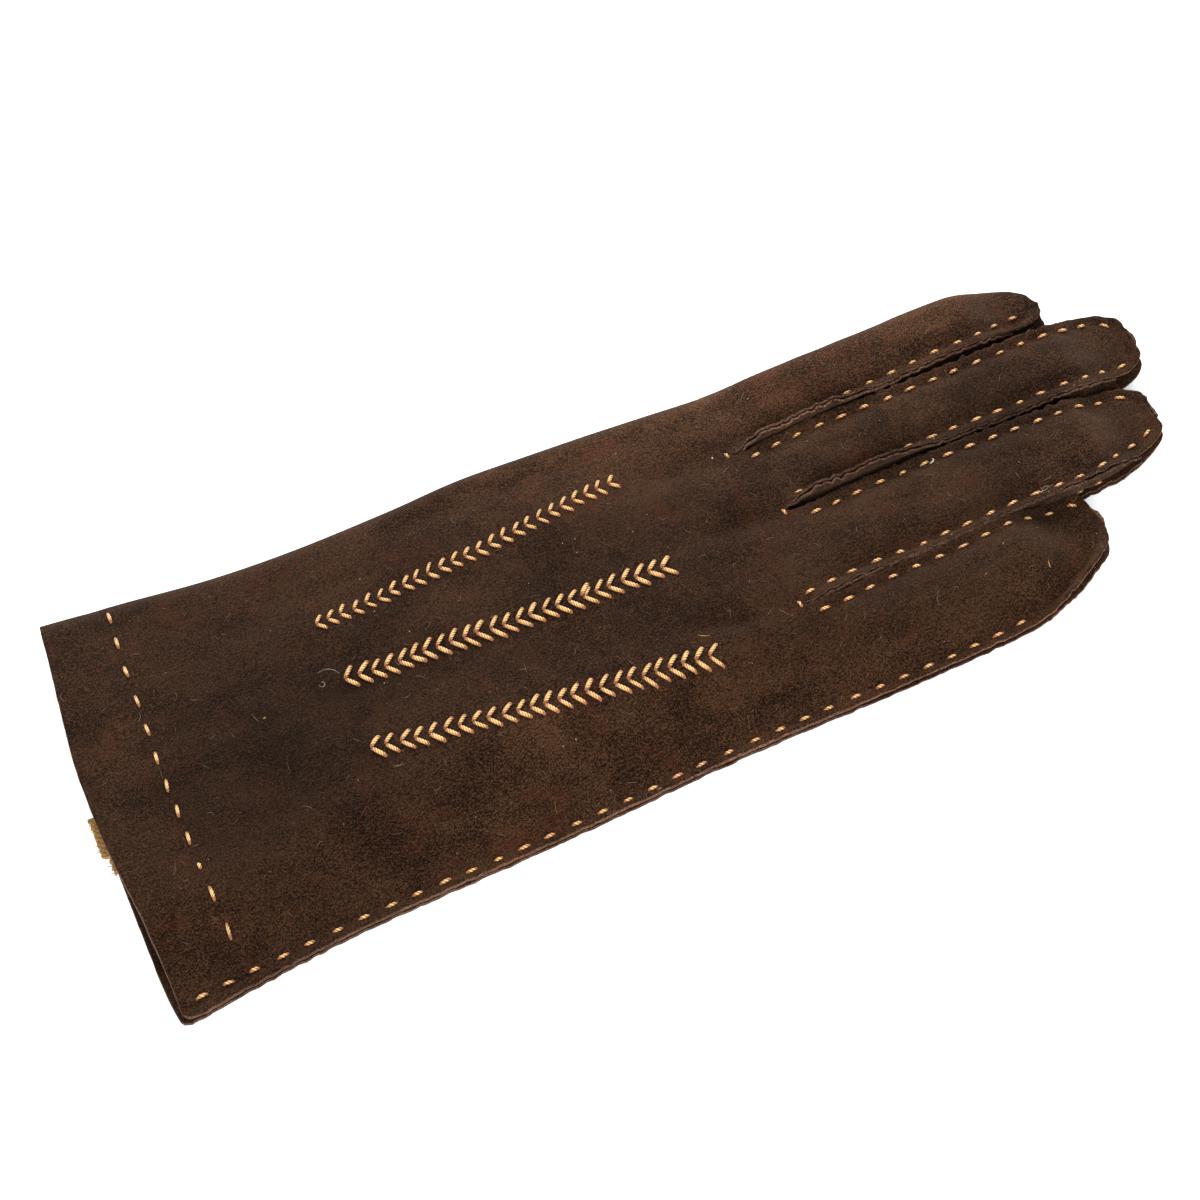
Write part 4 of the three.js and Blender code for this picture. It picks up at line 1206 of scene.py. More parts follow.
            palm = self._hand_surface(x, y, Side.PALM)
            sign = 1 if side is Side.BACK else -1
            rolled = (back + palm) / 2 + sign * (back - palm) / 2 * np.sin(bend)
            z = np.where(flat[None], z, rolled)
        return np.stack([x, y, z], axis=-1)

    def _finger(self, finger: Finger, side: Side, crotch_row: np.ndarray, crotch_points: np.ndarray,
                begin: int, end: int, fold_line: dict[str, np.ndarray]) -> None:
        """Adds one side of a finger, from the crotch line to its tip."""
        form = self.form
        last = end if finger.sewn_a else len(crotch_row)
        ids = np.arange(begin, last)
        start = crotch_points[ids, 0]
        edge0 = finger.edges[0]
        top0 = edge0.a - (0 if finger.sewn_a else form.fold_reach)
        flat = ids < end
        share = np.zeros(len(ids))
        share[flat] = self._shares(finger, side)
        bend = np.zeros(len(ids))
        if not finger.sewn_a:
            bend[~flat] = self._angles()
        length = finger.tip.x - start.mean()
        rest = 12.0
        straight = np.arange(0, length - rest, self.row_step)[1:] / length
        turn = 1 - (rest / length) * (1 - np.sin(np.linspace(0, np.pi / 2, 16)))
        t = np.r_[straight, turn][:, None]
        x = start[None] + (finger.tip.x - start[None]) * t
        a, b = finger.edge_a(x, side), finger.edge_b(x, side)
        reach = np.minimum(form.fold_reach, form.fold_share * (a - b))
        top = a if finger.sewn_a else a - reach
        width, width0 = top - b, top0 - edge0.b
        even = b + share[None] * width
        held = b + share[None] * width0 + smooth(share)[None] * (width - width0)
        keep = smooth((width / width0 - 0.5) / 0.3)
        y = lerp(even, held, keep)
        y = np.where(flat[None], y, a - reach * (1 - np.cos(bend))[None])
        z, sway = self._finger_surface(finger, x, y, start[None], side)
        if (~flat).any():
            back, _ = self._finger_surface(finger, x, y, start[None], Side.BACK)
            palm, _ = self._finger_surface(finger, x, y, start[None], Side.PALM)
            sign = 1 if side is Side.BACK else -1
            rolled = (back + palm) / 2 + sign * (back - palm) / 2 * np.sin(bend)[None]
            z = np.where(flat[None], z, rolled)
        grid = np.stack([x, y + sway * flat[None], z], axis=-1)
        near = np.minimum(a - y if finger.sewn_a else 99.0, y - b)
        past = smooth((x - start[None]) / 6)
        pared = form.leather - self.paring * past * (1 - smooth(near / 3.2))
        if finger.name == "index" and side is Side.PALM:
            own = self._add(grid[:, :-1], pared[:, :-1])
            numbers = np.c_[own, fold_line["index"]]
        else:
            numbers = self._add(grid, pared)
            if finger.name == "index":
                fold_line["index"] = numbers[:, -1]
        self._join(np.vstack([crotch_row[ids], numbers]), side)

    def _thumb_hole(self, outer: np.ndarray, quads: np.ndarray) -> np.ndarray:
        """Opens the thumb's hole in the palm and evens its edge."""
        form = self.form
        reach = np.array(form.mouth_reach) + form.hole_rim
        centre = np.array(form.thumb_mouth)
        place = (outer[:, :2] - centre) / reach
        radius = np.hypot(place[:, 0], place[:, 1])
        under = outer[:, 2] < 5.0
        band = under & (np.abs(radius - 1) < 0.075)
        outer[band, :2] = centre + place[band] / radius[band, None] * reach
        middle = outer[quads].mean(axis=1)
        inside = np.hypot(*((middle[:, :2] - centre) / reach).T) < 0.985
        return quads[~(inside & (middle[:, 2] < 5.0))]


@dataclass
class Fourchette:
    """The folded side wall between two fingers, its raw edges turned out beside the trank's."""

    trank: Trank
    upper: Finger
    lower: Finger
    step: float = 0.8
    short_of_tip: float = 8.0
    leather: float = 0.5
    gap: float = 0.04
    turn_steps: int = 12
    bulge: float = 0.55
    frill: Ripple = Ripple(51, 4.6, 2.0, 12)
    pleats: Ripple = Ripple(52, 9.0, 3.2, 10)

    def _run(self, finger: Finger, end: str, sign: int) -> dict[str, np.ndarray]:
        """Measures one finger's seam from the crotch to near its tip.

        Args:
            finger: The finger.
            end: Which edge the wall is sewn to, a or b.
            sign: Direction of the gap in y.

        Returns:
            Named columns: the stitch line x and y, the way out, and heights of both leathers.
        """
        form = self.trank.form
        low, high = form.hand_sides
        first = float(form.crotch_x((getattr(finger.edges[0], end) - low) / (high - low)))
        x = np.arange(first + 0.6, finger.tip.x - self.short_of_tip, self.step)
        edge = finger.edge_a if end == "a" else finger.edge_b
        top_y, low_y = edge(x, Side.BACK), edge(x, Side.PALM)
        slope = (edge(x + 0.5) - edge(x - 0.5))
        out = sign * np.stack([-slope, np.ones_like(x)], axis=1) / np.hypot(1, slope)[:, None]
        fold = np.stack([x, top_y], axis=1) - out * form.flange
        start = np.full_like(x, first)
        rows = {"fold": fold, "out": out, "x": x, "foot": sign * (low_y - top_y)}
        for side, key, y in ((Side.BACK, "top", top_y), (Side.PALM, "low", low_y)):
            inner, _ = self.trank._finger_surface(finger, x, y - sign * form.flange, start, side)
            outer, sway = self.trank._finger_surface(finger, x, y - sign * 0.05, start, side)
            rows[key + "_fold"], rows[key + "_edge"] = inner, outer
            rows[key + "_reach"] = np.maximum(form.flange + sign * sway, 0.5)
        return rows

    def _section(self, top: tuple, low: tuple, foot: float, room: float, run: float, seam: str) -> np.ndarray:
        """The wall's face towards the gap, in the plane across the seam.

        Args:
            top: Height at the stitches, height at the edge and reach of the trank's upper leather.
            low: The same of its lower leather.
            foot: How much further out the lower seam lies.
            room: Distance from the stitches to the middle of the gap.
            run: Distance along the wall.
            seam: Which seam it is, for its own waves.

        Returns:
            Points out, up from the lower raw edge to the upper one.
        """
        shift = 0.0 if seam == "a" else 71.0
        parts = []
        for (fold, edge, reach), sign, offset in ((low, -1, foot), (top, 1, 0.0)):
            tilt = math.atan2(edge - fold, reach)
            depth = self.trank.form.leather - self.trank.paring + self.gap + self.leather
            if sign < 0:
                depth = self.trank.form.leather + self.gap + self.leather
            normal = np.array([-math.sin(tilt), math.cos(tilt)]) * sign
            ahead = np.array([math.cos(tilt), math.sin(tilt)])
            base = np.array([offset, fold]) - normal * depth
            ragged = float(self.frill.line(run + shift + 13 * sign))
            length = reach / max(math.cos(tilt), 0.4) + 0.05 + 0.2 * ragged
            if sign > 0:
                length = max(min(length, (room - 0.12 - base[0]) / max(math.cos(tilt), 0.3)), 0.5)
                below = lerp(0.5, 0.02, smooth((edge - fold - 0.6) / 0.7))
                target = edge - below + 0.26 * float(self.frill.line(1.1 * run + shift + 29))
                rise = max(0.0, target - (base[1] + length * math.sin(tilt)))
            else:
                rise = 0.12 * float(self.frill.line(1.1 * run + shift))
            steps = np.array([0.0, 0.22, 0.45, 0.65, 0.85, 1.0])
            flange = base + np.outer(steps * length, ahead) + np.outer(steps ** 2 * rise, [0, 1])
            parts.append(flange[::-1] if sign < 0 else flange)
        foot, head = parts[0][-1], parts[1][0]
        share = np.linspace(0, 1, 13)[1:-1]
        wave = 0.2 * self.pleats.line(run + shift + 6 * np.sin(3 * share))
        puff = (self.bulge + wave) * np.sin(np.pi * share) - 0.12 * np.sin(2 * np.pi * share) ** 2
        wall = foot + np.outer(share, head - foot) + np.outer(puff, [1, 0])
        return np.vstack([parts[0], wall, parts[1]])

    def build(self) -> Leather:
        """Lays out the wall from one finger's tip round the crotch to the other's.

        Returns:
            The leather's face towards the gap.
        """
        a, b = self._run(self.upper, "b", -1), self._run(self.lower, "a", 1)
        rows = []
        for run, seam, order in ((a, "a", slice(None, None, -1)), (b, "b", slice(None))):
            part = []
            other = b if seam == "a" else a
            gap_y = np.interp(run["x"], other["x"], other["fold"][:, 1])
            room = np.abs(run["fold"][:, 1] - gap_y) / 2
            for i in range(len(run["x"])):
                section = self._section(
                    tuple(run["top_" + k][i] for k in ("fold", "edge", "reach")),
                    tuple(run["low_" + k][i] for k in ("fold", "edge", "reach")), float(run["foot"][i]),
                    float(room[i]), float(run["x"][i]), seam)
                part.append((run["fold"][i], run["out"][i], section))
            rows.append(part[order])
        first, last = rows[0][-1], rows[1][0]
        centre = (first[0] + last[0]) / 2
        radius = np.linalg.norm(first[0] - last[0]) / 2
        turn = []
        for i in range(1, self.turn_steps):
            share = i / self.turn_steps
            angle = math.pi * share + math.pi / 2
            spoke = np.array([math.cos(angle), math.sin(angle)])
            section = lerp(first[2], last[2], share).copy()
            section[:, 0] = np.minimum(section[:, 0], radius - 0.25)
            under = float(self.trank._hand_surface(centre[0] - 1.0, centre[1], Side.BACK)) - 1.4
            section[:, 1] = np.minimum(section[:, 1], under)
            turn.append((centre + spoke * radius, -spoke, section))
        stations = rows[0] + turn + rows[1]
        outer = np.array([[[*(fold + way * p[0]), p[1]] for p in section] for fold, way, section in stations])
        count, width = outer.shape[:2]
        ids = np.arange(count * width).reshape(count, width)
        quads = grid_quads(ids)
        return Leather(outer.reshape(-1, 3), quads, np.full(count * width, self.leather))


def sweep(line: np.ndarray, radii: np.ndarray, around: int = 5) -> tuple[np.ndarray, list]:
    """A closed tube along a line.

    Args:
        line: Points in order.
        radii: Radius at each point.
        around: Corners of the tube's section.

    Returns:
        Points and faces.
    """
    ahead = np.gradient(line, axis=0)
    ahead /= np.maximum(np.linalg.norm(ahead, axis=1), 1e-9)[:, None]
    across = np.cross(ahead, [0.0, 0.0, 1.0]) + 1e-6
    across /= np.linalg.norm(across, axis=1)[:, None]
    over = np.cross(across, ahead)
    angle = 2 * np.pi * np.arange(around) / around
    ring = line[:, None] + radii[:, None, None] * (
        np.cos(angle)[None, :, None] * across[:, None] + np.sin(angle)[None, :, None] * over[:, None])
    ids = np.arange(len(line) * around).reshape(-1, around)
    quads = grid_quads(np.c_[ids, ids[:, 0]]).tolist()
    return ring.reshape(-1, 3), [tuple(f) for f in (*quads, ids[0].tolist(), ids[-1, ::-1].tolist())]


def gather(parts: Sequence[tuple[np.ndarray, list]]) -> tuple[np.ndarray, list]:
    """Joins several meshes into one list of points and faces."""
    points, faces, count = [], [], 0
    for part_points, part_faces in parts:
        points.append(part_points)
        faces.extend(tuple(p + count for p in face) for face in part_faces)
        count += len(part_points)
    return np.vstack(points), faces


@dataclass
class Thumb:
    """The thumb, a flattened pouch with an outside seam all round and its mouth in the palm."""

    form: GloveForm
    steps: int = 176
    seam_inset: float = 2.05
    wave: Ripple = Ripple(61, 13.0, 3.0, 10)

    @property
    def middle(self) -> np.ndarray:
        """Middle of the thumb, in plan."""
        root, tip = self.form.thumb_root, self.form.thumb_tip
        return np.array([(root.x + tip.x) / 2, (root.y + tip.y) / 2])

    def outline(self, angle: np.ndarray, inset: float) -> np.ndarray:
        """Points of the outline, moved in, at angles round the thumb's middle."""
        form, middle = self.form, self.middle
        near, far = np.zeros_like(angle), np.full_like(angle, 80.0)
        for _ in range(30):
            reach = (near + far) / 2
            place = middle[0] + reach * np.cos(angle), middle[1] + reach * np.sin(angle)
            inside = form.outside_thumb(*place) < -inset
            near, far = np.where(inside, reach, near), np.where(inside, far, reach)
        return np.stack([middle[0] + near * np.cos(angle), middle[1] + near * np.sin(angle)], axis=1)

    def build(self) -> tuple[np.ndarray, list]:
        """Lays out the pouch as one closed skin.

        Returns:
            Points and faces.
        """
        form, middle = self.form, self.middle
        angle = 2 * np.pi * np.arange(self.steps) / self.steps
        mouth = np.array(form.thumb_mouth) + np.array(form.mouth_reach) * np.stack(
            [np.cos(angle), np.sin(angle)], axis=1)
        steps = np.diff(self.outline(angle, 0), axis=0, append=self.outline(angle[:1], 0))
        run = np.cumsum(np.linalg.norm(steps, axis=1))
        frill = 0.22 * self.wave.line(run)
        top, leather = form.thumb_height, form.leather
        floor = [("floor", s, 4.2, 0.1) for s in (0.12, 0.26, 0.4, 0.54, 0.67, 0.79, 0.9, 1.0)]
        under = [("floor", 1.0, i, 0.12 + 0.55 * float(bell(i - self.seam_inset, 0.75)))
                 for i in (3.4, 2.8, 2.4, 2.05, 1.7, 1.2, 0.6)]
        rim = [("floor", 1.0, i, z) for i, z in (
            (0.1, 0.28), (-0.05, 0.65), (0.1, 1.02), (0.7, 1.2), (0.75, 1.32), (0.12, 1.5), (0.0, 1.9),
            (0.15, 2.3))]
        upper = [("floor", 1.0, i, top - 0.3 * float(bell(i - self.seam_inset, 0.8)))
                 for i in (0.7, 1.4, 2.05, 2.8, 4.0)]
        lid = [("mouth", s, 4.0, top) for s in (0.8, 0.55, 0.3, 0.12, 0.03)]
        lip = [("mouth", 0.0, 0.0, z) for z in (top - 0.08, top - leather / 2, top - leather + 0.08)]
        inner = [("mouth", s, 2.6, top - leather) for s in (0.03, 0.3, 0.7)] + [
            ("floor", 1.0, 1.9, top - leather), ("floor", 1.0, 1.9, leather)] + [
            ("floor", s, 1.9, leather) for s in (0.75, 0.45, 0.2)]
        rings = []
        for kind, share, inset, z in floor + under + rim + upper + lid + lip + inner:
            edge = self.outline(angle, inset)
            edge = edge + (edge - middle) / np.linalg.norm(edge - middle, axis=1)[:, None] * (
                frill * max(0.0, 1 - abs(inset) / 2))[:, None]
            start = mouth if kind == "mouth" else middle[None]
            place = start + (edge - start) * share
            soft = 0.0 if z > 0.2 else 0.1 * (1 + self.wave.field(place[:, 0] * 0.6, place[:, 1] * 0.6))
            rings.append(np.c_[place, np.maximum(z + soft * np.ones(self.steps), 0.02)])
        points = np.vstack([*rings, [[*middle, 0.12]], [[*middle, leather]]])
        faces, n, last = [], self.steps, len(rings) - 1
        low, high = len(rings) * n, len(rings) * n + 1
        for i in range(n):
            j = (i + 1) % n
            faces.append((low, j, i))
            for k in range(last):
                faces.append((k * n + i, k * n + j, (k + 1) * n + j, (k + 1) * n + i))
            faces.append((high, last * n + i, last * n + j))
        return points, faces

    def seam_line(self) -> np.ndarray:
        """Where its stitches run on the underside, past the mouth's own end."""
        angle = np.linspace(0.0, 2 * np.pi, 240)
        return resample(self.outline(angle, self.seam_inset), 0.5)


@dataclass(frozen=True)
class Tape:
    """Woven tape inside the cuff, with a narrower step and frayed ends."""

    x: float = -109.3
    y: float = -18.1
    deep: float = 11.8
    wide: float = 14.0
    foot: float = 2.25
    thick: float = 0.8
    step_deep: float = 1.2
    step_wide: float = 4.3
    pitch: float = 0.62

    def build(self) -> tuple[np.ndarray, list]:
        """Weaves the tape.

        Returns:
            Points and faces.
        """
        nx, ny = int(self.deep / self.pitch * 4), int(self.wide / self.pitch * 4)
        u, v = np.linspace(0, 1, nx + 1), np.linspace(0, 1, ny + 1)
        uu, vv = np.meshgrid(u, v, indexing="ij")
        front = self.x - self.deep / 2
        setback = self.step_deep * smooth((self.step_wide + 0.25 - vv * self.wide) / 0.5)
        fray = Ripple(71, 3.0, 0.7, 8).line(vv * self.wide) * 0.14
        x = front + setback + fray + uu * (self.deep - setback - fray)
        y = self.y - self.wide / 2 + vv * self.wide
        weave = np.sin(np.pi * x / self.pitch) * np.sin(np.pi * y / self.pitch)
        ridge = np.abs(np.sin(np.pi * y / self.pitch))
        edge = smooth(np.minimum.reduce([uu * self.deep, vv * self.wide, (1 - vv) * self.wide]) / 0.35)
        swell = self.thick / 2 * (0.55 + 0.45 * edge) + 0.11 * weave + 0.07 * ridge
        waft = 0.12 * Ripple(72, 14.0, 5.0, 6).field(x, y)
        top = np.stack([x, y, self.foot + self.thick / 2 + waft + swell], axis=-1)
        low = np.stack([x, y, self.foot + self.thick / 2 + waft - swell + 0.2 * weave], axis=-1)
        ids = np.arange((nx + 1) * (ny + 1)).reshape(nx + 1, ny + 1)
        count = ids.size
        faces = both_faces(grid_quads(ids), count)
        border = np.r_[ids[:, 0], ids[-1, 1:], ids[-2::-1, -1], ids[0, -2:0:-1]].tolist()
        for p, q in zip(border, border[1:] + border[:1]):
            faces.append((q, p, p + count, q + count))
        return np.vstack([top.reshape(-1, 3), low.reshape(-1, 3)]), faces

    def frays(self) -> tuple[np.ndarray, list]:
        """Loose threads at its raw end.

        Returns:
            Points and faces.
        """
        rng = np.random.default_rng(73)
        parts = []
        front = self.x - self.deep / 2
        for v in (0.02, 0.06, 0.1, 0.17, 0.44, 0.47, 0.5, 0.73, 0.97, 0.99):
            start_x = front + (self.step_deep if v * self.wide < self.step_wide else 0)
            y = self.y - self.wide / 2 + v * self.wide
            reach = rng.uniform(0.5, 1.7)
            s = np.linspace(0, 1, 6)[:, None]
            way = np.array([-reach, rng.normal(0, 0.6), rng.normal(-0.15, 0.35)])
            side = rng.normal(0, 0.22, 3)
            start = np.array([start_x + 0.5, y, self.foot + self.thick / 2])
            line = start + way * s + side * np.sin(np.pi * s)
            parts.append(sweep(line, np.linspace(0.1, 0.05, 6), 5))
        return gather(parts)


class LeatherFinder:
    """Finds the leather's surface above or below a place."""

    def __init__(self, points: np.ndarray, faces: Sequence) -> None:
        """Sorts the faces for quick search.

        Args:
            points: Points in millimetres.
            faces: Faces as point numbers.
        """
        self.tree = BVHTree.FromPolygons([Vector(p) for p in points.tolist()], [list(f) for f in faces])

    def height(self, x: float, y: float, side: Side) -> float:
        """Height of the outer face on one side, or of the nearest face if none lies there.

        Args:
            x: Place along the glove.
            y: Place across it.
            side: Back or palm.

        Returns:
            Height in millimetres.
        """
        start, level, down = (60.0, 4.0, -1) if side is Side.BACK else (-20.0, 0.5, 1)
        hit = self.tree.ray_cast(Vector((x, y, start)), Vector((0, 0, down)))
        if hit[0] is not None:
            return hit[0].z
        return self.tree.find_nearest(Vector((x, y, level)))[0].z


@dataclass
class Yarn:
    """Two-ply thread sewn as separate stitches, kept together as one mesh."""

    finder: LeatherFinder
    radius: float = 0.36
    twist: float = 1.5
    around: int = 7
    rings: int = 19
    taper: float = 0.5
    plunge: float = 0.8
    plies: int = 2
    spread: float = 0.4
    points: list = field(default_factory=list)
    faces: list = field(default_factory=list)
    strand: list = field(default_factory=list)
    count: int = 0

    def _tube(self, centres: np.ndarray, radii: np.ndarray, core: np.ndarray, up: np.ndarray,
              full: float) -> None:
        """Adds one ply as a closed tube."""
        ahead = np.gradient(centres, axis=0)
        ahead /= np.maximum(np.linalg.norm(ahead, axis=1), 1e-9)[:, None]
        across = np.cross(ahead, up)
        across /= np.maximum(np.linalg.norm(across, axis=1), 1e-9)[:, None]
        over = np.cross(across, ahead)
        angle = 2 * np.pi * np.arange(self.around) / self.around
        ring = (centres[:, None] + radii[:, None, None] * (
            np.cos(angle)[None, :, None] * across[:, None] + np.sin(angle)[None, :, None] * over[:, None]))
        first = self.count
        self.points.append(ring.reshape(-1, 3))
        # Painted light and shade of the thread: its top takes the lit colour, its underside and the crevices
        # between its plies the shaded one.
        stand = ((ring - core[:, None]) * up[:, None]).sum(-1) / full
        outward = np.linalg.norm(ring - core[:, None], axis=-1) / full
        value = clamp01(0.62 + 0.48 * stand) * clamp01((outward - 0.7) / 0.27)
        run = np.linspace(0, 1, len(centres))[:, None] * np.ones_like(value)
        self.strand.append(np.stack([run, value], axis=-1).reshape(-1, 2))
        rows, n = ring.shape[0], self.around
        for i in range(rows - 1):
            for k in range(n):
                p, q = first + i * n + k, first + i * n + (k + 1) % n
                self.faces.append((p, p + n, q + n, q))
        self.faces.append(tuple(first + k for k in range(n)))
        self.faces.append(tuple(first + (rows - 1) * n + k for k in range(n))[::-1])
        self.count += rows * n

    def stitch(self, start: np.ndarray, end: np.ndarray, side: Side = Side.BACK, bow: float = 0.0,
               fat: float = 1.0, phase: float = 0.0, level: float | None = None) -> None:
        """Sews one stitch that comes out of the leather, lies on it and goes back in.

        Args:
            start: x, y where it comes out.
            end: x, y where it goes in.
            side: Back or palm.
            bow: How far its middle bends sideways.
            fat: Share of the usual thickness.
            phase: Where its twist starts.
            level: Height of the leather where another layer hides it from above.
        """
        s = np.linspace(0, 1, self.rings)
        start, end = np.asarray(start, float), np.asarray(end, float)
        way = end - start
        length = float(np.linalg.norm(way))
        normal = np.array([-way[1], way[0]]) / max(length, 1e-6)
        flat = start + way * s[:, None] + normal * (bow * 4 * s * (1 - s))[:, None]
        if level is None:
            heights = np.array([self.finder.height(px, py, side) for px, py in flat])
        else:
            heights = np.full(self.rings, level)
        heights = np.convolve(np.pad(heights, 3, mode="edge"), np.ones(7) / 7, mode="valid")
        radius = self.radius * fat * (1 - self.taper * (1 - np.sin(np.pi * s) ** 0.75))
        out = 1.0 if side is Side.BACK else -1.0
        rise = smooth(np.minimum(s, 1 - s) * length / self.plunge)
        stand = lerp(-0.42, self.radius * fat * 0.55, rise)
        core = np.c_[flat, heights + out * stand]
        up = np.tile([0.0, 0.0, out], (self.rings, 1))
        across = np.c_[np.tile(normal, (self.rings, 1)), np.zeros(self.rings)]
        turn = phase + 2 * np.pi * s * length / self.twist
        for ply in range(self.plies):
            angle = turn + 2 * np.pi * ply / self.plies
            swing = (np.cos(angle)[:, None] * across + np.sin(angle)[:, None] * up)
            centres = core + self.spread * radius[:, None] * swing
            self._tube(centres, (1.03 - self.spread) * radius, core, up, self.radius * fat)

    def piece(self, name: str, material: bpy.types.Material) -> bpy.types.Object:
        """Makes the mesh of all stitches sewn so far."""
        piece = new_piece(name, np.vstack(self.points), self.faces, [material])
        mesh = piece.data
        layer = mesh.uv_layers.new(name="strand")
        corner_points = np.zeros(len(mesh.loops), dtype=np.int32)
        mesh.loops.foreach_get("vertex_index", corner_points)
        layer.data.foreach_set("uv", np.vstack(self.strand)[corner_points].ravel().astype(np.float32))
        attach(piece, "root")
        return piece


@dataclass
class StitchLine:
    """A row of running stitches along a line."""

    line: np.ndarray
    count: int
    length: float = 2.5
    fat: float = 1.0
    jitter: float = 0.16
    seed: int = 1
    side: Side = Side.BACK
    shift: float = 0.0
    slip: tuple[float, float, float] = (0.0, 1.0, 0.0)

    def sew(self, yarn: Yarn) -> None:
        """Sews the row.

        Args:
            yarn: The thread to sew with.
        """
        rng = np.random.default_rng(self.seed)
        run = np.r_[0, np.cumsum(np.linalg.norm(np.diff(self.line, axis=0), axis=1))]
        places = np.linspace(0, run[-1], self.count) + self.shift * run[-1] / max(1, self.count - 1)
        middle, width, amount = self.slip
        for place in places + amount * bell(places - middle, width):
            if place > run[-1]:
                break
            at = place + rng.normal(0, self.jitter)
            before, spot, after = (np.array([np.interp(s, run, self.line[:, k]) for k in (0, 1)])
                                   for s in (at - 0.8, at, at + 0.8))
            step = after - before
            turn = math.atan2(step[1], step[0]) + math.radians(rng.normal(0, 3.5))
            half = 0.5 * self.length * (1 + rng.normal(0, 0.09))
            way = half * np.array([math.cos(turn), math.sin(turn)])
            yarn.stitch(spot - way, spot + way, self.side, bow=rng.normal(0, 0.06),
                        fat=self.fat * (1 + rng.normal(0, 0.05)), phase=rng.uniform(0, 2 * np.pi))


class FingerSeam(NamedTuple):
    """One side of a finger's seam: its first stitch's x, their number, and how far its end drifts in y."""

    finger: str
    edge: str
    first: float
    count: int
    pitch: float = 5.55
    drift: float = 0.0


@dataclass(frozen=True)
class ArrowRow:
    """A row of arrow stitches whose points look towards the cuff."""

    start: Spot
    end: Spot
    count: int = 25
    upper_turn: float = 50.0
    lower_turn: float = -52.0
    upper: float = 3.4
    lower: float = 3.4
    fat: float = 1.0
    doubled: int = -1
    seed: int = 3
    bend: Spot = Spot(0, 0)

    def sew(self, yarn: Yarn) -> None:
        """Sews the row.

        Args:
            yarn: The thread to sew with.
        """
        rng = np.random.default_rng(self.seed)
        for i in range(self.count):
            share = i / (self.count - 1)
            apex = np.array([lerp(self.start.x, self.end.x, share), lerp(self.start.y, self.end.y, share)])
            apex = apex + 4 * share * (1 - share) * np.array(self.bend) + rng.normal(0, 0.09, 2)
            arms = ((self.upper_turn, self.upper, 0.12), (self.lower_turn, self.lower, -0.05))
            for turn, length, bow in arms:
                angle = math.radians(turn + rng.normal(0, 3.0))
                way = np.array([math.cos(angle), math.sin(angle)])
                reach = length * (1 + rng.normal(0, 0.05))
                side_step = np.zeros(2)
                if i == self.doubled and turn > 0:
                    side_step = np.array([-way[1], way[0]]) * 0.34
                    yarn.stitch(apex - side_step, apex - side_step + 0.85 * reach * way, fat=0.65 * self.fat)
                yarn.stitch(apex + side_step, apex + side_step + reach * way, Side.BACK,
                            bow=bow + rng.normal(0, 0.04), fat=self.fat * (1 + rng.normal(0, 0.06)),
                            phase=rng.uniform(0, 2 * np.pi))


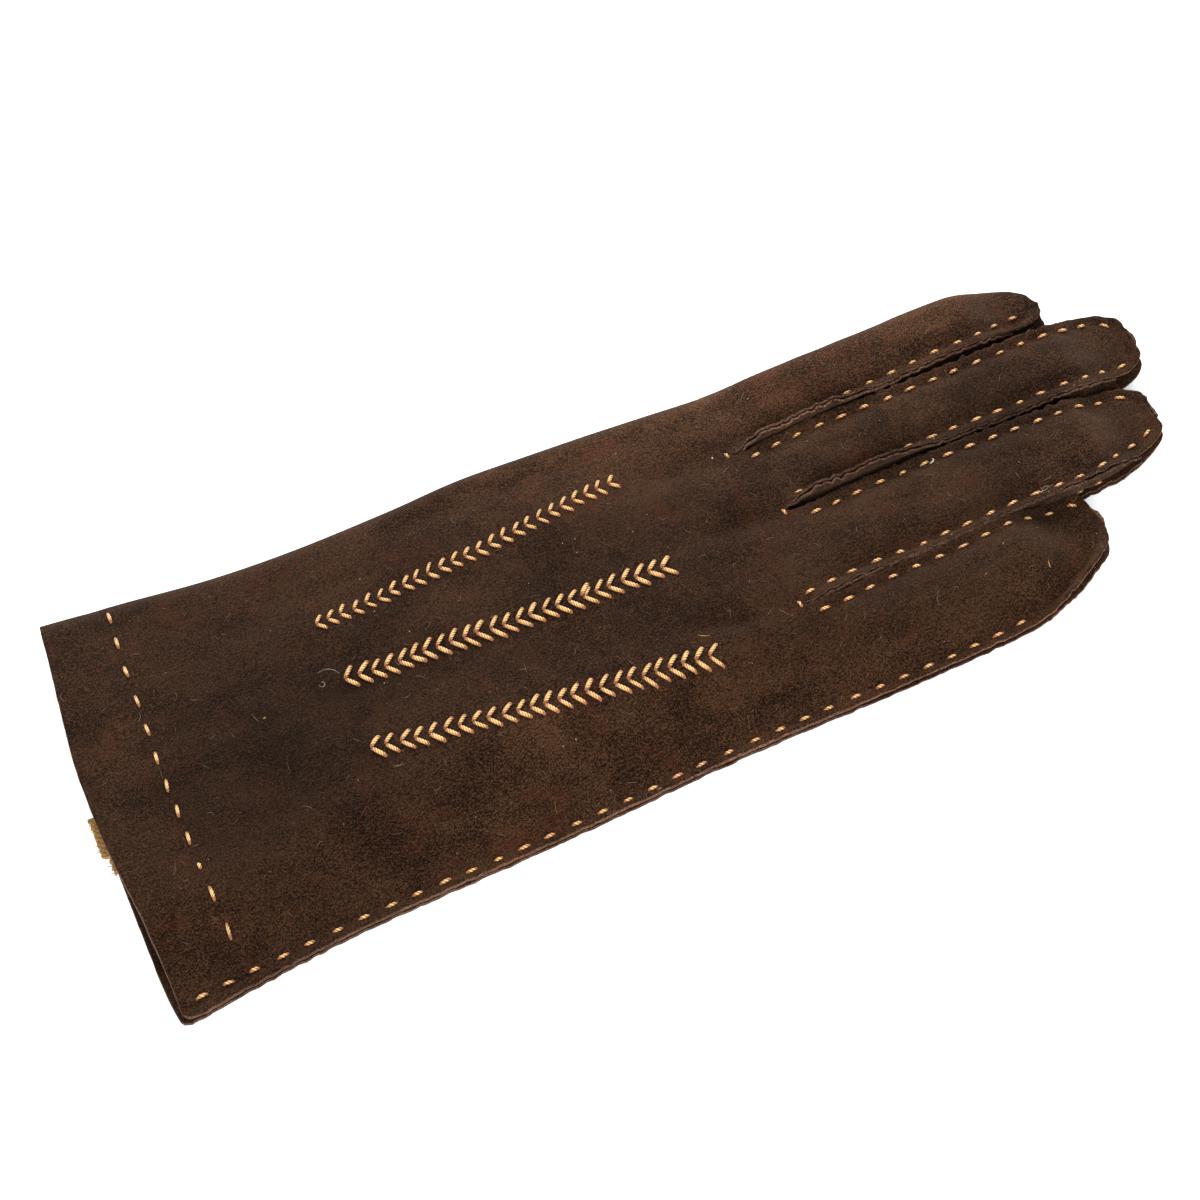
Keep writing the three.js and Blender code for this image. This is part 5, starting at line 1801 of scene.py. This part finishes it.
@dataclass
class Sewing:
    """All the glove's stitches."""

    form: GloveForm
    finder: LeatherFinder
    finish: bpy.types.Material
    hem: tuple[Spot, ...] = (
        Spot(-97.2, 29.7), Spot(-97.6, 22.6), Spot(-98.0, 14.9), Spot(-98.2, 7.0), Spot(-98.4, -0.2),
        Spot(-98.7, -7.4), Spot(-98.8, -14.2), Spot(-98.7, -20.4), Spot(-98.7, -27.1), Spot(-98.7, -33.8),
        Spot(-98.3, -40.2), Spot(-97.7, -47.4))
    side_seam: tuple[Spot, ...] = (
        Spot(-106.7, -57.0), Spot(-83.4, -54.1), Spot(-60.1, -52.2), Spot(-36.6, -50.8), Spot(-14, -48.8),
        Spot(8.8, -46.5), Spot(32.1, -44.9), Spot(55, -43.7), Spot(72.1, -42.4), Spot(82.9, -40.6))
    arrows: tuple[ArrowRow, ...] = (
        ArrowRow(Spot(-59.1, 10.0), Spot(10.0, 19.2), upper_turn=49, lower_turn=-44, upper=2.9, lower=2.85,
                 fat=0.84, seed=3, bend=Spot(-0.4, -1.3)),
        ArrowRow(Spot(-58.0, -5.1), Spot(11.4, -5.7), upper_turn=44, lower_turn=-48, upper=3.45, lower=3.8,
                 doubled=18, seed=4, bend=Spot(-0.7, -0.6)),
        ArrowRow(Spot(-59.0, -22.9), Spot(11.8, -28.8), upper_turn=40, lower_turn=-49, upper=3.4, lower=3.6,
                 seed=5, bend=Spot(0.05, -1.2)))
    finger_seams: tuple[FingerSeam, ...] = (
        FingerSeam("index", "b", 46.0, 13, 5.75, 1.3), FingerSeam("middle", "a", 41.9, 17, 5.64),
        FingerSeam("middle", "b", 47.0, 16), FingerSeam("ring", "a", 47.6, 15, 5.5),
        FingerSeam("ring", "b", 38.2, 17, 5.58, 0.7), FingerSeam("little", "a", 38.8, 12, 5.66, -0.3))
    tacks: tuple[Spot, ...] = (Spot(36.7, 17.2), Spot(41.8, -0.9), Spot(34.5, -24.0))
    lower_flange: tuple[Spot, ...] = (Spot(105.5, -15.75), Spot(110.3, -15.2))
    flange_top: float = 2.35

    def _line(self, spots: Sequence[Spot]) -> np.ndarray:
        """A smooth line through places that are in order of their greater extent."""
        numbers = np.arange(len(spots))
        t = np.linspace(0, len(spots) - 1, 12 * len(spots))
        return np.c_[ease(numbers, [s.x for s in spots], t), ease(numbers, [s.y for s in spots], t)]

    def hem_stitches(self) -> bpy.types.Object:
        """The cuff's row of hem stitches."""
        yarn = Yarn(self.finder, radius=0.37, twist=1.9, taper=0.6, plunge=0.9, plies=3, spread=0.48)
        rng = np.random.default_rng(11)
        for number, spot in enumerate(self.hem):
            turn = math.radians(-91 + rng.normal(0, 4))
            way = (1.15 if number == 9 else 1.9) * np.array([math.cos(turn), math.sin(turn)])
            yarn.stitch(np.array(spot) - way, np.array(spot) + way, bow=rng.normal(0, 0.06),
                        fat=1 + rng.normal(0, 0.05), phase=rng.uniform(0, 2 * np.pi))
        return yarn.piece("hem_stitches", self.finish)

    def side_stitches(self) -> bpy.types.Object:
        """The side seam, seen from both faces."""
        yarn = Yarn(self.finder, radius=0.36, taper=0.7, plunge=1.0)
        line = self._line(self.side_seam)
        StitchLine(line, 34, length=3.1, seed=12, slip=(150.0, 26.0, 0.9)).sew(yarn)
        StitchLine(line, 34, length=2.8, seed=13, side=Side.PALM, shift=0.5).sew(yarn)
        return yarn.piece("side_seam_stitches", self.finish)

    def finger_stitches(self) -> bpy.types.Object:
        """The outside seams of all fingers, seen from both faces."""
        yarn = Yarn(self.finder, radius=0.33, taper=0.7, plunge=1.0)
        seed = 20
        for seam in self.finger_seams:
            finger = getattr(self.form, seam.finger)
            for side in Side:
                rim = finger.rim(2.05, seam.first, seam.first, side)
                far = int(np.argmax(rim[:, 0]))
                half = rim[:far] if seam.edge == "a" else rim[far:][::-1]
                seed += 1
                half = half + np.outer(seam.drift * smooth((half[:, 0] - finger.tip.x + 20) / 14), [0, 1])
                reach = resample(half, 0.5)[: int((seam.count - 1) * seam.pitch / 0.5) + 2]
                StitchLine(reach, seam.count, length=3.1, seed=seed, side=side,
                           shift=0.0 if side is Side.BACK else 0.5).sew(yarn)
        for spot in self.lower_flange:
            way = np.array([1.3, 0.15])
            yarn.stitch(np.array(spot) - way, np.array(spot) + way, level=self.flange_top)
        return yarn.piece("finger_seam_stitches", self.finish)

    def arrow_stitches(self) -> bpy.types.Object:
        """Three rows of arrow stitches on the back."""
        yarn = Yarn(self.finder, radius=0.45, twist=1.9, around=6, rings=24, taper=0.3, plunge=0.5, plies=3,
                    spread=0.54)
        for row in self.arrows:
            row.sew(yarn)
        return yarn.piece("arrow_stitches", self.finish)

    def thumb_stitches(self, thumb: Thumb) -> bpy.types.Object:
        """The thumb's own outside seam, underneath.

        Args:
            thumb: The thumb.

        Returns:
            The piece.
        """
        yarn = Yarn(self.finder, radius=0.3)
        line = thumb.seam_line()
        StitchLine(line, 22, length=2.5, seed=51, side=Side.PALM, fat=0.9).sew(yarn)
        return yarn.piece("thumb_stitches", self.finish)

    def bar_tacks(self) -> bpy.types.Object:
        """One crosswise stitch behind each crotch, and a thread end beside the first."""
        yarn = Yarn(self.finder, radius=0.32)
        yarn.stitch(np.array([33.6, 18.4]), np.array([33.8, 17.5]), fat=0.75)
        for spot in self.tacks:
            way = 1.1 * np.array([math.cos(math.radians(-80)), math.sin(math.radians(-80))])
            yarn.stitch(np.array(spot) - way, np.array(spot) + way, Side.BACK)
        return yarn.piece("bar_tacks", self.finish)


class Bit(NamedTuple):
    """A known piece of fluff: its place, length, curl in degrees, turn in degrees and thickness."""

    x: float
    y: float
    length: float
    curl: float
    turn: float
    thick: float


@dataclass(frozen=True)
class FluffFinish:
    """Loose fibres and dust."""

    name: str
    light: tuple
    dark: tuple

    def make(self) -> bpy.types.Material:
        """Builds the material.

        Returns:
            The material.
        """
        material, bench = start_material(self.name)
        patch = bench.noise(bench.millimetres(), 3.0, 2.0)
        fine = bench.noise(bench.millimetres(), 0.15, 2.0)
        color = bench.mix(bench.ramp(patch, 0.35, 0.65), rgba(self.dark), rgba(self.light))
        bench.surface(color, bench.ramp(fine, 0.3, 0.7, 0.7, 0.95), {"Specular IOR Level": 0.2})
        return material


@dataclass
class Fluff:
    """Hairs, dust and bits of fibre that lie on the nap."""

    form: GloveForm
    finder: LeatherFinder
    hairs: int = 300
    specks: int = 50
    white_bits: tuple[Bit, ...] = (
        Bit(95.6, -16.0, 2.6, 60, 12, 0.05), Bit(96.4, -16.2, 2.0, 130, 160, 0.045),
        Bit(94.8, -16.2, 1.6, 90, 60, 0.05), Bit(97.4, -15.4, 1.8, 80, -10, 0.04),
        Bit(-7.9, -48.8, 1.1, 160, 10, 0.08), Bit(-63.0, -4.1, 3.0, 290, 20, 0.04),
        Bit(-60.6, -3.0, 5.0, 100, 150, 0.035), Bit(76.8, -0.3, 1.3, 60, 20, 0.22),
        Bit(77.3, 0.0, 0.9, 90, 80, 0.15))
    tan_bits: tuple[Bit, ...] = (
        Bit(88.1, -33.0, 1.3, 30, -92, 0.11), Bit(-76.1, -7.3, 0.7, 90, 10, 0.12),
        Bit(12.9, -23.4, 2.8, 70, -30, 0.06))
    def _hair(self, bit: Bit, lift: float = 0.12) -> tuple[np.ndarray, list]:
        """One fibre, curved in plan and arched over the nap."""
        s = np.linspace(0, 1, 8)
        turn = math.radians(bit.turn) + math.radians(bit.curl) * (s - 0.5)
        step = bit.length / 7 * np.stack([np.cos(turn), np.sin(turn)], axis=1)
        plan = np.array([bit.x, bit.y]) + np.cumsum(step, axis=0) - step.sum(axis=0) / 2
        heights = np.array([self.finder.height(px, py, Side.BACK) for px, py in plan])
        heights = np.convolve(np.pad(heights, 1, mode="edge"), np.ones(3) / 3, mode="valid")
        line = np.c_[plan, heights + 0.03 + lift * np.sin(np.pi * s)]
        return sweep(line, bit.thick * (0.4 + 0.6 * np.sin(np.pi * s)), 4)

    def _places(self, rng: np.random.Generator, count: int) -> np.ndarray:
        """Scatters places over the back."""
        x = rng.uniform(-112, 118, count)
        share = rng.uniform(0.03, 0.93, count)
        return np.c_[x, lerp(self.form.seam_y(x), self.form.fold_y(x), share)]

    def build_pale(self) -> tuple[np.ndarray, list]:
        """White fibres and dust."""
        rng = np.random.default_rng(91)
        parts = [self._hair(bit) for bit in self.white_bits]
        for x, y in self._places(rng, self.specks):
            size = 0.045 + 0.05 * rng.random() ** 2
            length = 0.22 * (1 + rng.random())
            parts.append(self._hair(Bit(x, y, length, rng.normal(0, 80), rng.uniform(0, 180), size), 0.02))
        return gather([part for part in parts if part[0][:, 2].min() > 0.8])

    def build_brown(self) -> tuple[np.ndarray, list]:
        """Hairs of the leather itself."""
        rng = np.random.default_rng(92)
        parts = []
        for x, y in self._places(rng, self.hairs):
            parts.append(self._hair(Bit(x, y, rng.uniform(0.7, 3.0), rng.normal(0, 70), rng.uniform(0, 180),
                                        rng.uniform(0.028, 0.05))))
        return gather([part for part in parts if part[0][:, 2].min() > 0.8])

    def build_tan(self) -> tuple[np.ndarray, list]:
        """Ends of sewing thread that lie about."""
        return gather([self._hair(bit) for bit in self.tan_bits])


@dataclass
class Studio:
    """White floor just under the palm's stitches, soft light, and the camera at the photograph's angle."""

    azimuth: float = -23.0
    elevation: float = 55.0
    distance: float = 0.6
    lens: float = 85.5
    floor_width: float = 6.0
    floor_level: float = -0.36

    def build(self) -> None:
        """Adds floor, world light, lamps and camera."""
        self._floor()
        self._light()
        self._camera()
        bpy.context.scene.view_settings.view_transform = "Standard"

    def _floor(self) -> None:
        """A wide white floor of 8 by 8 squares, whose finish varies over it."""
        half, n = self.floor_width / 2, 8
        steps = np.linspace(-half, half, n + 1)
        points = [(x / MM, y / MM, self.floor_level) for y in steps for x in steps]
        faces = [(j * (n + 1) + i, j * (n + 1) + i + 1, (j + 1) * (n + 1) + i + 1, (j + 1) * (n + 1) + i)
                 for j in range(n) for i in range(n)]
        floor = new_piece("studio_floor", np.array(points), faces, [PaperFinish().make()])

    def _lamp(self, name: str, place: Sequence[float], size: float, power: float,
              color: Sequence[float]) -> None:
        """A soft square lamp that looks at the glove."""
        data = bpy.data.lights.new(name, "AREA")
        data.shape = "SQUARE"
        data.size = size
        data.energy = power
        data.color = color
        lamp = bpy.data.objects.new(name, data)
        lamp.location = place
        lamp.rotation_euler = (-Vector(place)).to_track_quat("-Z", "Y").to_euler()
        bpy.context.scene.collection.objects.link(lamp)

    def _light(self) -> None:
        """Even white surroundings with a large lamp behind and above, as in a light tent."""
        world = bpy.data.worlds.new("light_tent")
        world.use_nodes = True
        backdrop = world.node_tree.nodes["Background"]
        backdrop.inputs["Color"].default_value = (0.97, 0.985, 1.0, 1.0)
        backdrop.inputs["Strength"].default_value = 0.8
        bpy.context.scene.world = world
        self._lamp("rear", (0.25, 1.0, 0.6), 0.8, 25.0, (1.0, 0.985, 0.96))
        self._lamp("front", (-0.35, -1.1, 0.62), 0.9, 21.0, (1.0, 0.99, 0.97))

    def _camera(self) -> None:
        """The camera, aimed at the middle of the photograph."""
        data = bpy.data.cameras.new("camera")
        data.sensor_fit = "HORIZONTAL"
        data.sensor_width = 36.0
        data.lens = self.lens
        data.clip_start, data.clip_end = 0.01, 20.0
        camera = bpy.data.objects.new("camera", data)
        aim = Vector(PATTERN_SHIFT * MM)
        a, e = math.radians(self.azimuth), math.radians(self.elevation)
        away = Vector((math.sin(a) * math.cos(e), -math.cos(a) * math.cos(e), math.sin(e)))
        camera.location = aim + self.distance * away
        camera.rotation_euler = (-away).to_track_quat("-Z", "Y").to_euler()
        bpy.context.scene.collection.objects.link(camera)
        bpy.context.scene.camera = camera


def report(piece: bpy.types.Object) -> None:
    """Logs a finished piece."""
    LOG.info("%s: %d faces", piece.name, len(piece.data.polygons))


def dress(piece: bpy.types.Object, node: str) -> None:
    """Lets a piece stand in for a plain solid.

    Args:
        piece: The piece.
        node: The solid's node.
    """
    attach(piece, "root")
    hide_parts(node)
    report(piece)


def main() -> None:
    """Builds the glove piece by piece, then the studio."""
    logging.basicConfig(level=logging.INFO, format="%(message)s")
    form = GloveForm()
    effects = SharedEffects()
    suede = SuedeFinish().make(effects)
    raw = SuedeFinish("cut_edge", deep=(0.014, 0.006, 0.0035), raised=(0.125, 0.066, 0.042),
                      contrast=1.9, grain=0.3).make(effects)
    side_suede = SuedeFinish("suede_side", deep=(0.003, 0.0012, 0.0006),
                             raised=(0.043, 0.0198, 0.0098)).make(effects)
    thread = ThreadFinish().make(effects)

    pattern = Trank(form)
    points, faces, kinds = close_leather(pattern.build())
    skins = [(points, faces)]
    dress(new_piece("trank_suede", points, faces, [suede, raw], kinds), "glove_body")
    for upper, lower in ((form.index, form.middle), (form.middle, form.ring), (form.ring, form.little)):
        name = f"fourchette_{upper.name}_{lower.name}"
        points, faces, kinds = close_leather(Fourchette(pattern, upper, lower).build())
        skins.append((points, faces))
        dress(new_piece(name + "_suede", points, faces, [side_suede, raw], kinds), name)
    thumb = Thumb(form)
    points, faces = thumb.build()
    skins.append((points, faces))
    dress(new_piece("thumb_suede", points, faces, [suede]), "thumb")
    tape = Tape()
    points, faces = gather([tape.build(), tape.frays()])
    dress(new_piece("cuff_tape", points, faces, [TapeFinish().make()]), "woven_tab")

    finder = LeatherFinder(*gather(skins))
    sewing = Sewing(form, finder, thread)
    for piece in (sewing.hem_stitches(), sewing.side_stitches(), sewing.finger_stitches(),
                  sewing.arrow_stitches(), sewing.bar_tacks(), sewing.thumb_stitches(thumb)):
        report(piece)
    fluff = Fluff(form, finder)
    for (points, faces), finish in (
            (fluff.build_pale(), FluffFinish("pale_fluff", (0.45, 0.41, 0.35), (0.22, 0.19, 0.16))),
            (fluff.build_tan(), FluffFinish("tan_ends", (0.55, 0.34, 0.13), (0.28, 0.13, 0.04))),
            (fluff.build_brown(), FluffFinish("brown_hairs", (0.19, 0.125, 0.085), (0.07, 0.04, 0.025)))):
        piece = new_piece(finish.name, points, faces, [finish.make()])
        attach(piece, "root")
        report(piece)
    Studio().build()


if __name__ == "__main__":
    main()
